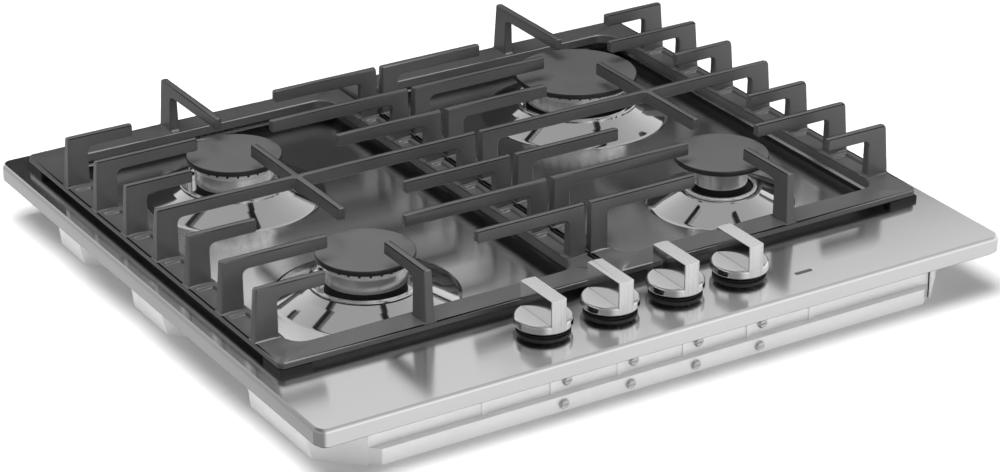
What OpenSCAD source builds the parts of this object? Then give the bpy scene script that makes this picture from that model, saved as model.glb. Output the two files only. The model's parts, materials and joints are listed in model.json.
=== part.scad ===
// Four-burner gas cooktop for a worktop cut-out, in millimetres.
// The origin is the middle of the underside of the burner box.
// +X runs right along the front, +Y runs back, +Z is up.

/* [Top plate] */
// Width of the top plate, left to right
plate_w = 582; // [576:1:620]
// Depth of the top plate, front to back
plate_d = 520; // [516:1:550]
// Corner radius of the plate
plate_corner_r = 9; // [6:0.5:12]
// Thickness of the plate's steel sheet
plate_t = 1; // [0.8:0.1:1.4]
// Height of the folded rim
rim_h = 13; // [11:0.5:16]
// Width of the bevel along the plate's edge, seen from above
rim_bevel_w = 2; // [1:0.25:3]
// Drop of that bevel
rim_bevel_h = 3; // [2:0.25:5]
// Width of the lip folded inward at the foot of the rim
rim_lip_w = 11; // [9:0.5:11.5]
// Depth of the recess that catches spills
recess_depth = 6.5; // [5:0.5:7.5]
// Flat border between the plate's edge and the recess at the sides
recess_side = 26; // [24.5:0.5:30]
// Flat border at the back
recess_back = 30; // [28.5:0.5:34]
// Flat strip at the front that carries the knobs
recess_front = 93; // [91.5:0.5:100]
// Run of the recess's sloping wall, seen from above
recess_slope = 5; // [3:0.5:8]
// Corner radius of the recess
recess_corner_r = 14; // [8:1:20]

/* [Burner box] */
// Height of the plate's flat top over the underside of the burner box
deck_z = 50; // [49.5:0.5:58]
// Thickness of the box's steel sheet
box_t = 1; // [0.8:0.1:1.4]
// Distance from the plate's edge to the box's plain side walls
box_inset_side = 46; // [44:1:50]
// Distance from the plate's front edge to the box's front wall
box_inset_front = 25; // [22:0.5:27]
// Distance from the plate's back edge to the box's back wall
box_inset_back = 24; // [20:0.5:28]
// How far the low ledge stands out from the front wall
ledge_out = 6.5; // [4:0.5:8]
// Height of the low ledge
ledge_h = 12; // [9:0.5:12.5]
// Distance from the plate's edge to the foot of the pressed side bulges
bulge_inset_foot = 21; // [18:0.5:24]
// How far the bulges lean out from foot to top
bulge_lean = 8; // [4:0.5:9]
// Width of the pressed ribs on the front wall
box_rib_w = 4; // [2:0.5:6]
// How far those ribs stand out
box_rib_out = 1.2; // [0.6:0.2:2]

/* [Burners] */
// Distance of the burner axes from the plate's side edges
burner_inset = 135; // [132:0.5:138]
// Thickness of a burner cap's edge
cap_edge_h = 4.6; // [4:0.2:6]
// Width of the bevel round a cap's top
cap_bevel = 1.2; // [0.6:0.2:2]
// Height of the cap's underside over the plate's flat top
cap_seat_h = 24.8; // [24:0.1:25]
// How much higher the small burner carries its cap
small_rise = 4; // [3:0.25:4.25]
// Height of a flame ring's foot over the plate's flat top
ring_seat_h = 7; // [6:0.25:8]
// Height of the small flame ring's foot, which sits lower
small_seat_h = 4; // [3:0.25:4.5]
// Depth of a flame ring's collar in its cup
ring_collar_h = 4; // [3:0.25:5]
// Depth of a cap's collar in its flame ring
cap_collar_h = 3; // [2:0.25:3.5]
// Width of a flame port
port_w = 1.9; // [1.2:0.1:2.4]
// Height of a flame port
port_h = 5.2; // [4:0.1:6]
// Spacing of the flame ports round a ring
port_pitch = 8.1; // [7:0.1:9]
// Cap diameter of the two medium burners
medium_cap_d = 73.5; // [72:0.5:78]
// Flame ring diameter of the two medium burners
medium_ring_d = 62; // [59:0.5:63]
// Diameter of the pressed dome's foot under a medium burner
medium_dome_d = 132.5; // [124:0.5:138]
// Diameter of the pressed dome's lip round a medium burner
medium_lip_d = 84; // [82:0.5:88]
// Cap diameter of the large burner
large_cap_d = 99; // [97:0.5:104]
// Flame ring diameter of the large burner
large_ring_d = 84; // [82:0.5:85]
// Diameter of the pressed dome's foot under the large burner
large_dome_d = 148; // [142:0.5:154]
// Diameter of the pressed dome's lip round the large burner
large_lip_d = 101; // [100:0.5:106]
// Cap diameter of the small burner
small_cap_d = 73.5; // [72:0.5:78]
// Flame ring diameter of the small burner
small_ring_d = 42; // [40:0.5:43]
// Diameter of the flange round the foot of the small flame ring
small_flange_d = 57; // [55:0.5:58]
// Diameter of the pressed dome's foot under the small burner
small_dome_d = 109; // [106:0.5:118]
// Diameter of the pressed dome's lip round the small burner
small_lip_d = 64; // [63.5:0.5:68]
// Height of the dome lips over the plate's flat top
lip_h = 5; // [3.5:0.25:5.5]
// Depth of the channel inside the lip, from the lip down to its floor
channel_depth = 7; // [6:0.25:7.5]

/* [Pan supports] */
// Height of the finger tops over the plate's flat top
support_h = 49; // [48:0.5:56]
// Distance from the plate's side edge to the support frame
support_side = 16; // [15.5:0.5:17.5]
// Distance from the plate's front edge to the support frame
support_front = 83.5; // [82:0.5:84]
// Distance from the plate's back edge to the support frame
support_back = 20; // [19:0.5:21]
// Gap between the two supports
support_gap = 4; // [2:0.5:6]
// Top of the support frame over the plate's flat top
frame_top_h = 9.5; // [8.5:0.25:12]
// Thickness of the frame's edge
frame_edge_t = 5.5; // [4:0.25:6.5]
// Width of the frame's outer rails
rail_w = 22; // [21.5:0.5:24]
// Width of the rails along the gap between the supports
seam_rail_w = 18; // [17.5:0.5:20]
// Thickness of the lip along the frame's inner edge
frame_lip_t = 3; // [2:0.25:4]
// Height of that lip
frame_lip_h = 8; // [7:0.25:9]
// Distance of the first finger row from the frame's front edge
row_front = 40.7; // [39.5:0.2:42]
// Distance of the last finger row from the frame's back edge
row_back = 71; // [69.5:0.5:72]
// Depth of a finger's arm, top to underside
arm_h = 9.5; // [8:0.25:10]
// Thickness of a finger at its top
finger_top_t = 6; // [5:0.25:7]
// Thickness of a finger at its foot
finger_foot_t = 8.4; // [7:0.2:9]
// Width of a finger's leg at the outer rails
leg_w = 19; // [16:0.5:19]
// Width of a finger's leg at the seam rails
seam_leg_w = 15; // [12:0.5:15]
// How far a leg's outer edge leans in from foot to top
leg_lean = 3; // [1:0.25:5]
// The same lean at the seam rails
seam_lean = 0.75; // [0:0.25:2]
// Radius between a leg and its arm
arm_r = 5; // [3:0.5:8]
// Distance from a burner axis to the tips of the long fingers
tip_near = 32; // [30:0.5:34]
// Distance from a burner axis to the tips of the short fingers
tip_far = 62; // [58:1:66]
// Distance from the middle row to the tips of the cross, front and back
cross_reach = 68; // [64:0.5:70]
// Distance from the front burner's axis to the tip of the front finger
front_tip = 32; // [30:0.5:34]
// Distance from the back burner's axis to the tip of the back finger
back_tip = 25; // [24:0.5:34]
// Length of a foot pad along the frame
pad_l = 25; // [18:1:30]
// Width of a foot pad
pad_w = 8; // [6:0.5:8]

/* [Knobs and taps] */
// Spacing of the knobs
knob_pitch = 56.2; // [50:0.2:58]
// Distance from the plate's front edge to the knob axes
knob_front = 49.5; // [48:0.5:51]
// Diameter of a knob's disc
knob_d = 42.6; // [40:0.2:44]
// Height of the disc's underside over the plate
knob_lift = 5.6; // [5.2:0.1:6]
// Thickness of the disc
knob_disc_h = 6.5; // [5:0.25:8]
// Height of the knob's top over the plate
knob_h = 31.5; // [28:0.5:33]
// Width of the knob's grip bar
knob_bar_w = 12.6; // [11:0.2:14]
// Bevel round the disc's top edge
knob_bevel = 1; // [0.5:0.1:1.5]
// Diameter of the seal ring under a knob
bezel_d = 39.5; // [37:0.5:42]
// Thickness of the seal ring's flange
bezel_flange_h = 1.2; // [0.8:0.1:1.4]
// Diameter of the seal ring's raised collar
bezel_collar_d = 34; // [30:0.5:35]
// Height of the collar's top over the plate
bezel_h = 2.2; // [1.6:0.1:2.2]
// Travel of a knob when it is pushed in
push_travel = 2.5; // [2:0.1:2.5]
// Diameter of a tap's spindle
spindle_d = 6; // [5.6:0.1:6.2]
// Width of a tap body
valve_w = 22; // [20:0.5:24]
// Reach of a tap body before and behind the spindle
valve_reach = 14; // [13:0.25:14.5]
// Top of a tap body below the plate's flat top
valve_drop = 14; // [13.5:0.25:15]
// Height of a tap body
valve_h = 28; // [27.5:0.5:30]
// Thickness of the cover over a tap
valve_cover_h = 3; // [2:0.25:3]
// Width of the square gas manifold
manifold_w = 16; // [14:0.5:16.5]
// Wall of the gas manifold
manifold_t = 2; // [1.5:0.25:3]
// Diameter of the burner pipes
pipe_d = 6; // [5:0.25:6]
// Wall of the burner pipes
pipe_t = 1; // [0.6:0.1:1.2]
// Radius of a pipe bend
pipe_bend_r = 15; // [12:0.5:20]
// Diameter of the supply pipe
supply_d = 14; // [12:0.5:16]
// Diameter of the inlet thread, a half-inch pipe thread
inlet_thread_d = 20.96; // [16:0.01:21]
// Length of the inlet thread
inlet_thread_l = 12.5; // [12:0.25:12.75]

/* [Hidden] */
$fn = 64;

// Shared small sizes
cut = 0.5;
fit_gap = 0.05;
slide_gap = 0.3;
loose_gap = 0.5;

// Places that several pieces share, seen from above
plate_front = -plate_d / 2;
plate_back = plate_d / 2;
rows = 7;
back_row = 1;
middle_row = 3;
front_row = 5;
burner_x = plate_w / 2 - burner_inset;
support_front_y = plate_front + support_front;
support_back_y = plate_back - support_back;
finger_pitch = (support_back_y - row_back - support_front_y - row_front) / (rows - 1);
function row_y(i) = support_front_y + row_front + (rows - 1 - i) * finger_pitch;
burner_front_y = row_y(front_row);
burner_back_y = row_y(back_row);
knob_y = plate_front + knob_front;
knob_count = 4;
function knob_x(i) = (i - (knob_count - 1) / 2) * knob_pitch;

// Heights that several pieces share, measured from the flat top
sheet_under = -plate_t;
floor_top = -recess_depth;
floor_under = floor_top - plate_t;
channel_top = lip_h - channel_depth;
channel_under = channel_top - plate_t;
rim_foot = -rim_h;
frame_under = frame_top_h - frame_edge_t;
support_outer_x = plate_w / 2 - support_side;
support_seam_x = support_gap / 2;

// Burner kinds: cap, ring, flange, dome foot and dome lip diameters, height of the ring's foot, rise of the cap
medium = [medium_cap_d, medium_ring_d, 0, medium_dome_d, medium_lip_d, ring_seat_h, 0];
large = [large_cap_d, large_ring_d, 0, large_dome_d, large_lip_d, ring_seat_h, 0];
small = [small_cap_d, small_ring_d, small_flange_d, small_dome_d, small_lip_d, small_seat_h, small_rise];
function cap_r(k) = k[0] / 2;
function ring_r(k) = k[1] / 2;
function flange_r(k) = k[2] / 2;
function dome_r(k) = k[3] / 2;
function lip_r(k) = k[4] / 2;
function seat_h(k) = k[5];
function cap_z(k) = cap_seat_h + k[6];
left = -1;
right = 1;

// Wall sizes of the burners
lip_w = 2.5;
lip_round = 0.6;
head_step = 1;
head_wall = 2.5;
cup_floor_t = 4;
cup_flange_t = 3;
cup_flange_w = 1.5;
ring_wall = 3.5;
cap_recess = 1.5;
boss_d = 12;
boss_out = 8;
boss_bite = 1;
flange_rim_w = 3.2;
flange_floor_t = 3;
pipe_z = -38;
function head_r(k) = ring_r(k) - head_step;
function bowl_r(k) = head_r(k) - head_wall;
function hole_r(k) = head_r(k) + loose_gap;
function lip_inner_r(k) = lip_r(k) - lip_w;
function channel_r(k) = (head_r(k) + lip_inner_r(k)) / 2;
function boss_end(k) = head_r(k) + boss_out;

// Igniters, thermocouples and burner screws, by angle from the outer side
igniter_angle = 20;
probe_angle = 170;
screw_angles = [80, 260];
igniter_d = 3.2;
igniter_tip_d = 1.2;
igniter_top = 16;
igniter_tip_top = 20;
igniter_foot = -12;
igniter_base_d = 5;
igniter_base_h = 4;
probe_d = 3;
probe_top = 18;
probe_round = 0.8;
probe_foot = -12;
probe_gap = 0.4;

// Fasteners
burner_screw_d = 3;
burner_screw_head_d = 5;
burner_screw_head_h = 1.8;
burner_screw_l = 7;
box_screw_d = 4;
box_screw_head_d = 8;
box_screw_head_h = 2.4;
box_screw_l = 8;
box_screw_slot_w = 1;
box_screw_slot_h = 0.8;
upper_screw_z = -30;
lower_screw_z = -44;
upper_screw_dx = 4;
lower_screw_dx = -2.5;

// Injectors
injector_d = 6;
injector_hex_d = 9;
injector_hex_h = 4;
injector_h = 11;
injector_stem = 3;
injector_bore_d = 1.2;
injector_sides = 6;

// Colours
steel = "Gainsboro";
bright_steel = "Silver";
black_iron = "DimGray";
black = "#202020";
alloy = "LightGray";
brass = "Goldenrod";
ceramic = "Ivory";

// Rounded rectangle, centred, made of two squares and four discs
module rounded_rect(w, d, r) {
    square([w - 2 * r, d], center = true);
    square([w, d - 2 * r], center = true);
    for (sx = [-1, 1])
        for (sy = [-1, 1])
            translate([sx * (w / 2 - r), sy * (d / 2 - r)])
                circle(r);
}

// Rounded block from z = 0 up to h, its outline b smaller on every side at the top than at the foot
module drafted_block(w, d, r, b, h) {
    translate([-w / 2 + r, 0, 0])
        rotate([90, 0, 90])
            linear_extrude(w - 2 * r)
                polygon([[-d / 2, 0], [d / 2, 0], [d / 2 - b, h], [-d / 2 + b, h]]);
    translate([0, d / 2 - r, 0])
        rotate([90, 0, 0])
            linear_extrude(d - 2 * r)
                polygon([[-w / 2, 0], [w / 2, 0], [w / 2 - b, h], [-w / 2 + b, h]]);
    for (sx = [-1, 1])
        for (sy = [-1, 1])
            translate([sx * (w / 2 - r), sy * (d / 2 - r), 0])
                cylinder(r1 = r, r2 = r - b, h = h);
}

module on_deck() {
    translate([0, 0, deck_z])
        children();
}

module at_burner(side, y) {
    translate([side * burner_x, y, deck_z])
        children();
}

module at_knob(i) {
    translate([knob_x(i), knob_y, deck_z])
        children();
}

// Children placed round a burner at an angle counted from its outer side, so both sides of the plate mirror
module round_burner(side, k, angle) {
    mirror([side == left ? 1 : 0, 0, 0])
        rotate(angle)
            translate([channel_r(k), 0, 0])
                children();
}

// Top plate: folded rim, flat border, recess and a pressed dome round each burner
recess_w = plate_w - 2 * recess_side;
recess_d = plate_d - recess_back - recess_front;
recess_mid_y = (recess_front - recess_back) / 2;

module plate_outer() {
    translate([0, 0, rim_foot])
        linear_extrude(rim_h - rim_bevel_h)
            rounded_rect(plate_w, plate_d, plate_corner_r);
    translate([0, 0, -rim_bevel_h])
        drafted_block(plate_w, plate_d, plate_corner_r, rim_bevel_w, rim_bevel_h);
}

module plate_inner() {
    inner_r = plate_corner_r - plate_t;
    translate([0, 0, rim_foot + plate_t])
        linear_extrude(rim_h - rim_bevel_h - plate_t)
            rounded_rect(plate_w - 2 * plate_t, plate_d - 2 * plate_t, inner_r);
    translate([0, 0, -rim_bevel_h])
        drafted_block(plate_w - 2 * plate_t, plate_d - 2 * plate_t, inner_r,
                      rim_bevel_w * (rim_bevel_h - plate_t) / rim_bevel_h, rim_bevel_h - plate_t);
    translate([0, 0, rim_foot - cut])
        linear_extrude(plate_t + 2 * cut)
            rounded_rect(plate_w - 2 * rim_lip_w, plate_d - 2 * rim_lip_w, inner_r);
}

// The recess as a sloping tray, grown by g on every side and in depth
module recess_tray(g, top) {
    foot_w = recess_w - 2 * recess_slope + 2 * g;
    foot_d = recess_d - 2 * recess_slope + 2 * g;
    depth = recess_depth + g;
    rise = recess_slope * (depth + top) / recess_depth;
    translate([0, recess_mid_y, -depth])
        drafted_block(foot_w, foot_d, recess_corner_r, -rise, depth + top);
}

module dome(side, y, k) {
    at_burner(side, y)
        rotate_extrude()
            polygon([
                [dome_r(k), floor_top],
                [lip_r(k) + lip_round, lip_h - lip_round],
                [lip_r(k), lip_h],
                [lip_inner_r(k) + lip_round, lip_h],
                [lip_inner_r(k), lip_h - lip_round],
                [lip_inner_r(k), channel_top],
                [hole_r(k), channel_top],
                [hole_r(k), channel_under],
                [lip_inner_r(k) + plate_t, channel_under],
                [lip_inner_r(k) + plate_t, lip_h - plate_t],
                [lip_r(k) - plate_t, lip_h - plate_t],
                [dome_r(k) - 2 * plate_t, floor_under],
                [dome_r(k), floor_under]
            ]);
}

// Holes in the channel floor for the igniter, the thermocouple and the screws
module channel_holes(side, y, k) {
    at_burner(side, y) {
        round_burner(side, k, igniter_angle)
            translate([0, 0, channel_under - cut])
                cylinder(d = igniter_d + 2 * probe_gap, h = plate_t + 2 * cut);
        round_burner(side, k, probe_angle)
            translate([0, 0, channel_under - cut])
                cylinder(d = probe_d + 2 * probe_gap, h = plate_t + 2 * cut);
        for (a = screw_angles)
            round_burner(side, k, a)
                translate([0, 0, channel_under - cut])
                    cylinder(d = burner_screw_d + 2 * fit_gap, h = plate_t + 2 * cut);
    }
}

window_w = 14.3;
window_d = 3;
window_x = 126.5;
window_front = 28;
window_flange = 1.5;
window_rise = 0.3;
window_depth = 5;

module top_plate() {
    color(steel) {
        difference() {
            on_deck() {
                difference() {
                    plate_outer();
                    difference() {
                        plate_inner();
                        recess_tray(plate_t, 0);
                    }
                    recess_tray(0, cut);
                }
            }
            for (b = [[left, burner_back_y, medium], [left, burner_front_y, medium],
                      [right, burner_back_y, large], [right, burner_front_y, small]])
                at_burner(b[0], b[1])
                    translate([0, 0, floor_under - cut])
                        cylinder(r = dome_r(b[2]) - plate_t, h = recess_depth);
            for (i = [0 : knob_count - 1])
                at_knob(i)
                    translate([0, 0, sheet_under - cut])
                        cylinder(d = bezel_plug_d + 2 * fit_gap, h = plate_t + 2 * cut);
            translate([window_x, plate_front + window_front, deck_z + sheet_under - cut])
                linear_extrude(plate_t + 2 * cut)
                    square([window_w + 2 * fit_gap, window_d + 2 * fit_gap], center = true);
        }
        difference() {
            union() {
                dome(left, burner_back_y, medium);
                dome(left, burner_front_y, medium);
                dome(right, burner_back_y, large);
                dome(right, burner_front_y, small);
            }
            channel_holes(left, burner_back_y, medium);
            channel_holes(left, burner_front_y, medium);
            channel_holes(right, burner_back_y, large);
            channel_holes(right, burner_front_y, small);
        }
    }
}

// Burner box: a pressed tray with bulged sides and a low ledge along the front
box_h = deck_z + floor_under;
box_side_x = plate_w / 2 - box_inset_side;
box_front_y = plate_front + box_inset_front;
box_back_y = plate_back - box_inset_back;
bulge_out = box_inset_side - bulge_inset_foot;
bulge_top = bulge_out + bulge_lean;
bulge_front_l = 74;
bulge_middle_l = 40;
bulge_back_l = 27;
bulge_middle_y = 38;
bulge_back_y = 173;
bulge_spans = [
    [box_front_y + bulge_top, box_front_y + bulge_top + bulge_front_l],
    [bulge_middle_y - bulge_middle_l / 2, bulge_middle_y + bulge_middle_l / 2],
    [bulge_back_y - bulge_back_l / 2, bulge_back_y + bulge_back_l / 2]
];
bulge_root = 3;
ledge_half_w = 241;
ledge_chamfer = 8;
box_rib_dx = 8;
box_rib_xs = [for (i = [-1 : knob_count]) knob_x(i) - box_rib_dx];
box_rib_gap = 3;
inlet_inset = 63;
inlet_x = plate_w / 2 - inlet_inset;
supply_z = -26.5;

// One bulge on the right side, with 45 degree ends and a leaning face, inset by t
module bulge(span, t) {
    end_shift = t * sqrt(2);
    run = bulge_top + bulge_root;
    length = span[1] - span[0] + 2 * run;
    intersection() {
        translate([box_side_x, 0, t])
            linear_extrude(box_h)
                polygon([
                    [-bulge_root, span[0] - run + end_shift],
                    [bulge_top, span[0] + end_shift],
                    [bulge_top, span[1] - end_shift],
                    [-bulge_root, span[1] + run - end_shift]
                ]);
        translate([box_side_x, span[0] - run + length, 0])
            rotate([90, 0, 0])
                linear_extrude(length)
                    polygon([
                        [-bulge_root, t],
                        [bulge_out - t, t],
                        [bulge_top - t, box_h + (t > 0 ? cut : 0)],
                        [-bulge_root, box_h + (t > 0 ? cut : 0)]
                    ]);
    }
}

// The tray's body, inset by t on every face, open upward where t is a wall
module box_body(t) {
    rise = t > 0 ? cut : 0;
    translate([-box_side_x + t, box_front_y + t, t])
        cube([2 * (box_side_x - t), box_back_y - box_front_y - 2 * t, box_h + rise - t]);
    translate([0, box_front_y + t, t])
        linear_extrude(ledge_h - 2 * t)
            polygon([
                [-ledge_half_w + t, 0],
                [-ledge_half_w + ledge_chamfer + t, -ledge_out],
                [ledge_half_w - ledge_chamfer - t, -ledge_out],
                [ledge_half_w - t, 0],
                [ledge_half_w - t, 2 * box_t],
                [-ledge_half_w + t, 2 * box_t]
            ]);
    for (m = [0, 1])
        mirror([m, 0, 0])
            for (span = bulge_spans)
                bulge(span, t);
}

vent_l = 30;
vent_w = 4;
vent_pitch = 12;
vent_count = 5;
vent_xs = [-180, 180];
clamp_x = 200;
clamp_y = 215;
clamp_hole_d = 4.4;
floor_vent_y = -10;

module burner_box() {
    color(bright_steel)
        difference() {
            union() {
                box_body(0);
                for (x = box_rib_xs)
                    translate([x - box_rib_w / 2, box_front_y - box_rib_out, ledge_h - box_t])
                        cube([box_rib_w, 2 * box_rib_out, box_h - ledge_h - box_rib_gap]);
            }
            box_body(box_t);
            for (i = [0 : knob_count - 1]) {
                translate([knob_x(i) + upper_screw_dx, box_front_y - cut, deck_z + upper_screw_z])
                    rotate([-90, 0, 0])
                        cylinder(d = box_screw_d + 2 * fit_gap, h = box_t + 2 * cut);
                translate([knob_x(i) + lower_screw_dx, box_front_y - ledge_out - cut, deck_z + lower_screw_z])
                    rotate([-90, 0, 0])
                        cylinder(d = box_screw_d + 2 * fit_gap, h = box_t + 2 * cut);
            }
            translate([inlet_x, box_back_y - box_t - cut, deck_z + supply_z])
                rotate([-90, 0, 0])
                    cylinder(d = inlet_thread_d + 2 * fit_gap, h = box_t + 2 * cut);
            for (x = vent_xs)
                for (i = [0 : vent_count - 1])
                    translate([x - vent_l / 2, floor_vent_y + i * vent_pitch, -cut])
                        cube([vent_l, vent_w, box_t + 2 * cut]);
            for (sx = [-1, 1])
                for (sy = [-1, 1])
                    translate([sx * clamp_x, sy * clamp_y, -cut])
                        cylinder(d = clamp_hole_d, h = box_t + 2 * cut);
        }
}

// Worktop seal: a flat strip under the rim's inward lip
seal_h = 2;
seal_edge = 3;
seal_r = plate_corner_r - seal_edge;

module worktop_seal() {
    color(black)
        translate([0, 0, deck_z + rim_foot - seal_h])
            linear_extrude(seal_h)
                difference() {
                    rounded_rect(plate_w - 2 * seal_edge, plate_d - 2 * seal_edge, seal_r);
                    rounded_rect(plate_w - 2 * rim_lip_w, plate_d - 2 * rim_lip_w, seal_r);
                }
}

// Dark window of the mains lamp, pushed up into its slot from below
module indicator_window() {
    color(black)
        translate([window_x, plate_front + window_front, deck_z]) {
            translate([0, 0, sheet_under])
                linear_extrude(plate_t + window_rise)
                    square([window_w, window_d], center = true);
            translate([0, 0, sheet_under - window_depth])
                linear_extrude(window_depth)
                    square([window_w + 2 * window_flange, window_d + 2 * window_flange], center = true);
        }
}

// Seal rings round the spindles, plugged into the plate
bezel_plug_d = 26;
bezel_plug_h = 3;

module knob_bezels() {
    color(black)
        for (i = [0 : knob_count - 1])
            at_knob(i)
                difference() {
                    union() {
                        cylinder(d = bezel_d, h = bezel_flange_h);
                        cylinder(d = bezel_collar_d, h = bezel_h);
                        translate([0, 0, -bezel_plug_h])
                            cylinder(d = bezel_plug_d, h = bezel_plug_h + bezel_flange_h);
                    }
                    translate([0, 0, -bezel_plug_h - cut])
                        cylinder(d = spindle_collar_d + 2 * slide_gap, h = bezel_plug_h + bezel_h + 2 * cut);
                }
}

// Burner cup: flange under the plate, head through it, bowl, and a boss towards the middle for the gas pipe
module burner_cup(side, y, k) {
    flange_top = channel_under;
    bowl_foot = pipe_z + boss_d / 2 - boss_bite;
    color(alloy)
        at_burner(side, y)
            difference() {
                union() {
                    translate([0, 0, bowl_foot])
                        cylinder(r = head_r(k), h = seat_h(k) - bowl_foot);
                    translate([0, 0, flange_top - cup_flange_t])
                        cylinder(r = lip_inner_r(k) - cup_flange_w, h = cup_flange_t);
                    translate([0, 0, pipe_z])
                        rotate([0, -side * 90, 0])
                            cylinder(d = boss_d, h = boss_end(k));
                    translate([0, 0, pipe_z - boss_d / 2 - boss_bite])
                        cylinder(d = 2 * boss_d, h = boss_d + boss_bite);
                }
                translate([0, 0, bowl_foot + cup_floor_t])
                    cylinder(r = bowl_r(k), h = seat_h(k) - bowl_foot);
                translate([0, 0, pipe_z])
                    cylinder(d = injector_d + 2 * fit_gap, h = boss_d + cup_floor_t);
                translate([0, 0, pipe_z])
                    rotate([0, -side * 90, 0])
                        cylinder(d = pipe_d - 2 * pipe_t, h = boss_end(k) + cut);
                translate([-side * (boss_end(k) - boss_out), 0, pipe_z])
                    rotate([0, -side * 90, 0])
                        cylinder(d = pipe_d + 2 * fit_gap, h = boss_out + cut);
                round_burner(side, k, igniter_angle)
                    translate([0, 0, flange_top - cup_flange_t - cut])
                        cylinder(d = igniter_d + 2 * fit_gap, h = cup_flange_t + 2 * cut);
                round_burner(side, k, probe_angle)
                    translate([0, 0, flange_top - cup_flange_t - cut])
                        cylinder(d = probe_d + 2 * fit_gap, h = cup_flange_t + 2 * cut);
                for (a = screw_angles)
                    round_burner(side, k, a)
                        translate([0, 0, flange_top - cup_flange_t - cut])
                            cylinder(d = burner_screw_d + 2 * fit_gap, h = cup_flange_t + 2 * cut);
            }
}

// Flame ring: collar in the cup, wide foot band, ported band under the cap
band_share = 0.55;

module flame_ring(side, y, k) {
    height = cap_z(k) - seat_h(k);
    collar_r = bowl_r(k) - slide_gap;
    bore_r = collar_r - ring_wall;
    ports = round(2 * PI * ring_r(k) / port_pitch / 2);
    band_top = seat_h(k) + height * band_share;
    color(alloy)
        at_burner(side, y)
            difference() {
                union() {
                    rotate_extrude()
                        polygon([
                            [bore_r, seat_h(k) - ring_collar_h],
                            [collar_r, seat_h(k) - ring_collar_h],
                            [collar_r, seat_h(k)],
                            [ring_r(k) - lip_round, seat_h(k)],
                            [ring_r(k), seat_h(k) + lip_round],
                            [ring_r(k), band_top - lip_round],
                            [ring_r(k) - head_step, band_top],
                            [ring_r(k) - head_step, cap_z(k)],
                            [bore_r, cap_z(k)]
                        ]);
                    if (flange_r(k) > 0)
                        rotate_extrude()
                            polygon([
                                [ring_r(k) - head_step, seat_h(k)],
                                [flange_r(k) - lip_round, seat_h(k)],
                                [flange_r(k), seat_h(k) + lip_round],
                                [flange_r(k), seat_h(k) + flange_floor_t],
                                [flange_r(k) - flange_rim_w + lip_round, seat_h(k) + flange_floor_t],
                                [flange_r(k) - flange_rim_w, seat_h(k) + plate_t],
                                [ring_r(k) - head_step, seat_h(k) + plate_t]
                            ]);
                }
                for (i = [0 : ports - 1])
                    rotate((i + 0.5) * 180 / ports)
                        translate([-ring_r(k), -port_w / 2, cap_z(k) - port_h])
                            cube([2 * ring_r(k), port_w, port_h + cut]);
                if (flange_r(k) > 0) {
                    round_burner(side, k, igniter_angle)
                        translate([0, 0, seat_h(k) - cut])
                            cylinder(d = igniter_d + 2 * probe_gap, h = flange_floor_t + 2 * cut);
                    round_burner(side, k, probe_angle)
                        translate([0, 0, seat_h(k) - cut])
                            cylinder(d = probe_d + 2 * probe_gap, h = flange_floor_t + 2 * cut);
                }
            }
}

// Cap: enamelled disc with a bevelled edge and a collar that drops into the flame ring
module burner_cap(side, y, k) {
    collar_r = bowl_r(k) - slide_gap - ring_wall - slide_gap;
    color(black_iron)
        at_burner(side, y)
            rotate_extrude()
                polygon([
                    [0, cap_z(k) + cap_recess],
                    [collar_r - head_wall, cap_z(k) + cap_recess],
                    [collar_r - head_wall, cap_z(k) - cap_collar_h],
                    [collar_r, cap_z(k) - cap_collar_h],
                    [collar_r, cap_z(k)],
                    [cap_r(k) - 2 * cap_bevel, cap_z(k)],
                    [cap_r(k), cap_z(k) + cap_bevel],
                    [cap_r(k), cap_z(k) + cap_edge_h - cap_bevel],
                    [cap_r(k) - cap_bevel, cap_z(k) + cap_edge_h],
                    [0, cap_z(k) + cap_edge_h]
                ]);
}

// Igniter: ceramic rod with a wire tip and a base under the cup's flange
module igniter(side, y, k) {
    base_top = channel_under - cup_flange_t;
    color(ceramic)
        at_burner(side, y)
            round_burner(side, k, igniter_angle) {
                translate([0, 0, base_top - igniter_base_h])
                    cylinder(d = igniter_base_d, h = igniter_base_h);
                translate([0, 0, igniter_foot])
                    cylinder(d = igniter_d, h = igniter_top - igniter_foot);
                cylinder(d = igniter_tip_d, h = igniter_tip_top);
            }
}

// Thermocouple: metal rod with a rounded tip
module thermocouple(side, y, k) {
    base_top = channel_under - cup_flange_t;
    color("Tan")
        at_burner(side, y)
            round_burner(side, k, probe_angle) {
                translate([0, 0, base_top - igniter_base_h])
                    cylinder(d = igniter_base_d, h = igniter_base_h);
                translate([0, 0, probe_foot])
                    cylinder(d = probe_d, h = probe_top - probe_round - probe_foot);
                translate([0, 0, probe_top - probe_round])
                    cylinder(d1 = probe_d, d2 = probe_d - 2 * probe_round, h = probe_round);
            }
}

module gas_injectors() {
    seat = pipe_z + boss_d / 2 + cup_floor_t;
    stem = cup_floor_t + injector_stem;
    color(brass)
        for (b = [
            [left, burner_back_y], [left, burner_front_y],
            [right, burner_back_y], [right, burner_front_y]
        ])
            at_burner(b[0], b[1])
                translate([0, 0, seat])
                    difference() {
                        union() {
                            translate([0, 0, -stem])
                                cylinder(d = injector_d, h = stem + injector_h);
                            cylinder(d = injector_hex_d, h = injector_hex_h, $fn = injector_sides);
                        }
                        translate([0, 0, -stem - cut])
                            cylinder(d = injector_bore_d, h = stem + injector_h + 2 * cut);
                    }
}

// Tap body: block round the tapered cone, lug to the box's front wall, gas ports
cone_top_r = 7;
cone_foot_r = 5;
cone_top = -valve_drop;
cone_h = 20;
tap_lug_w = 16;
tap_lug_h = 21;
tap_port_d = 4;
slot_w = 2.4;
slot_l = 6;
slot_depth = 8;
tongue_w = 2;
tongue_l = 5.4;
tongue_reach = 5;
manifold_z = supply_z;

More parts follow.
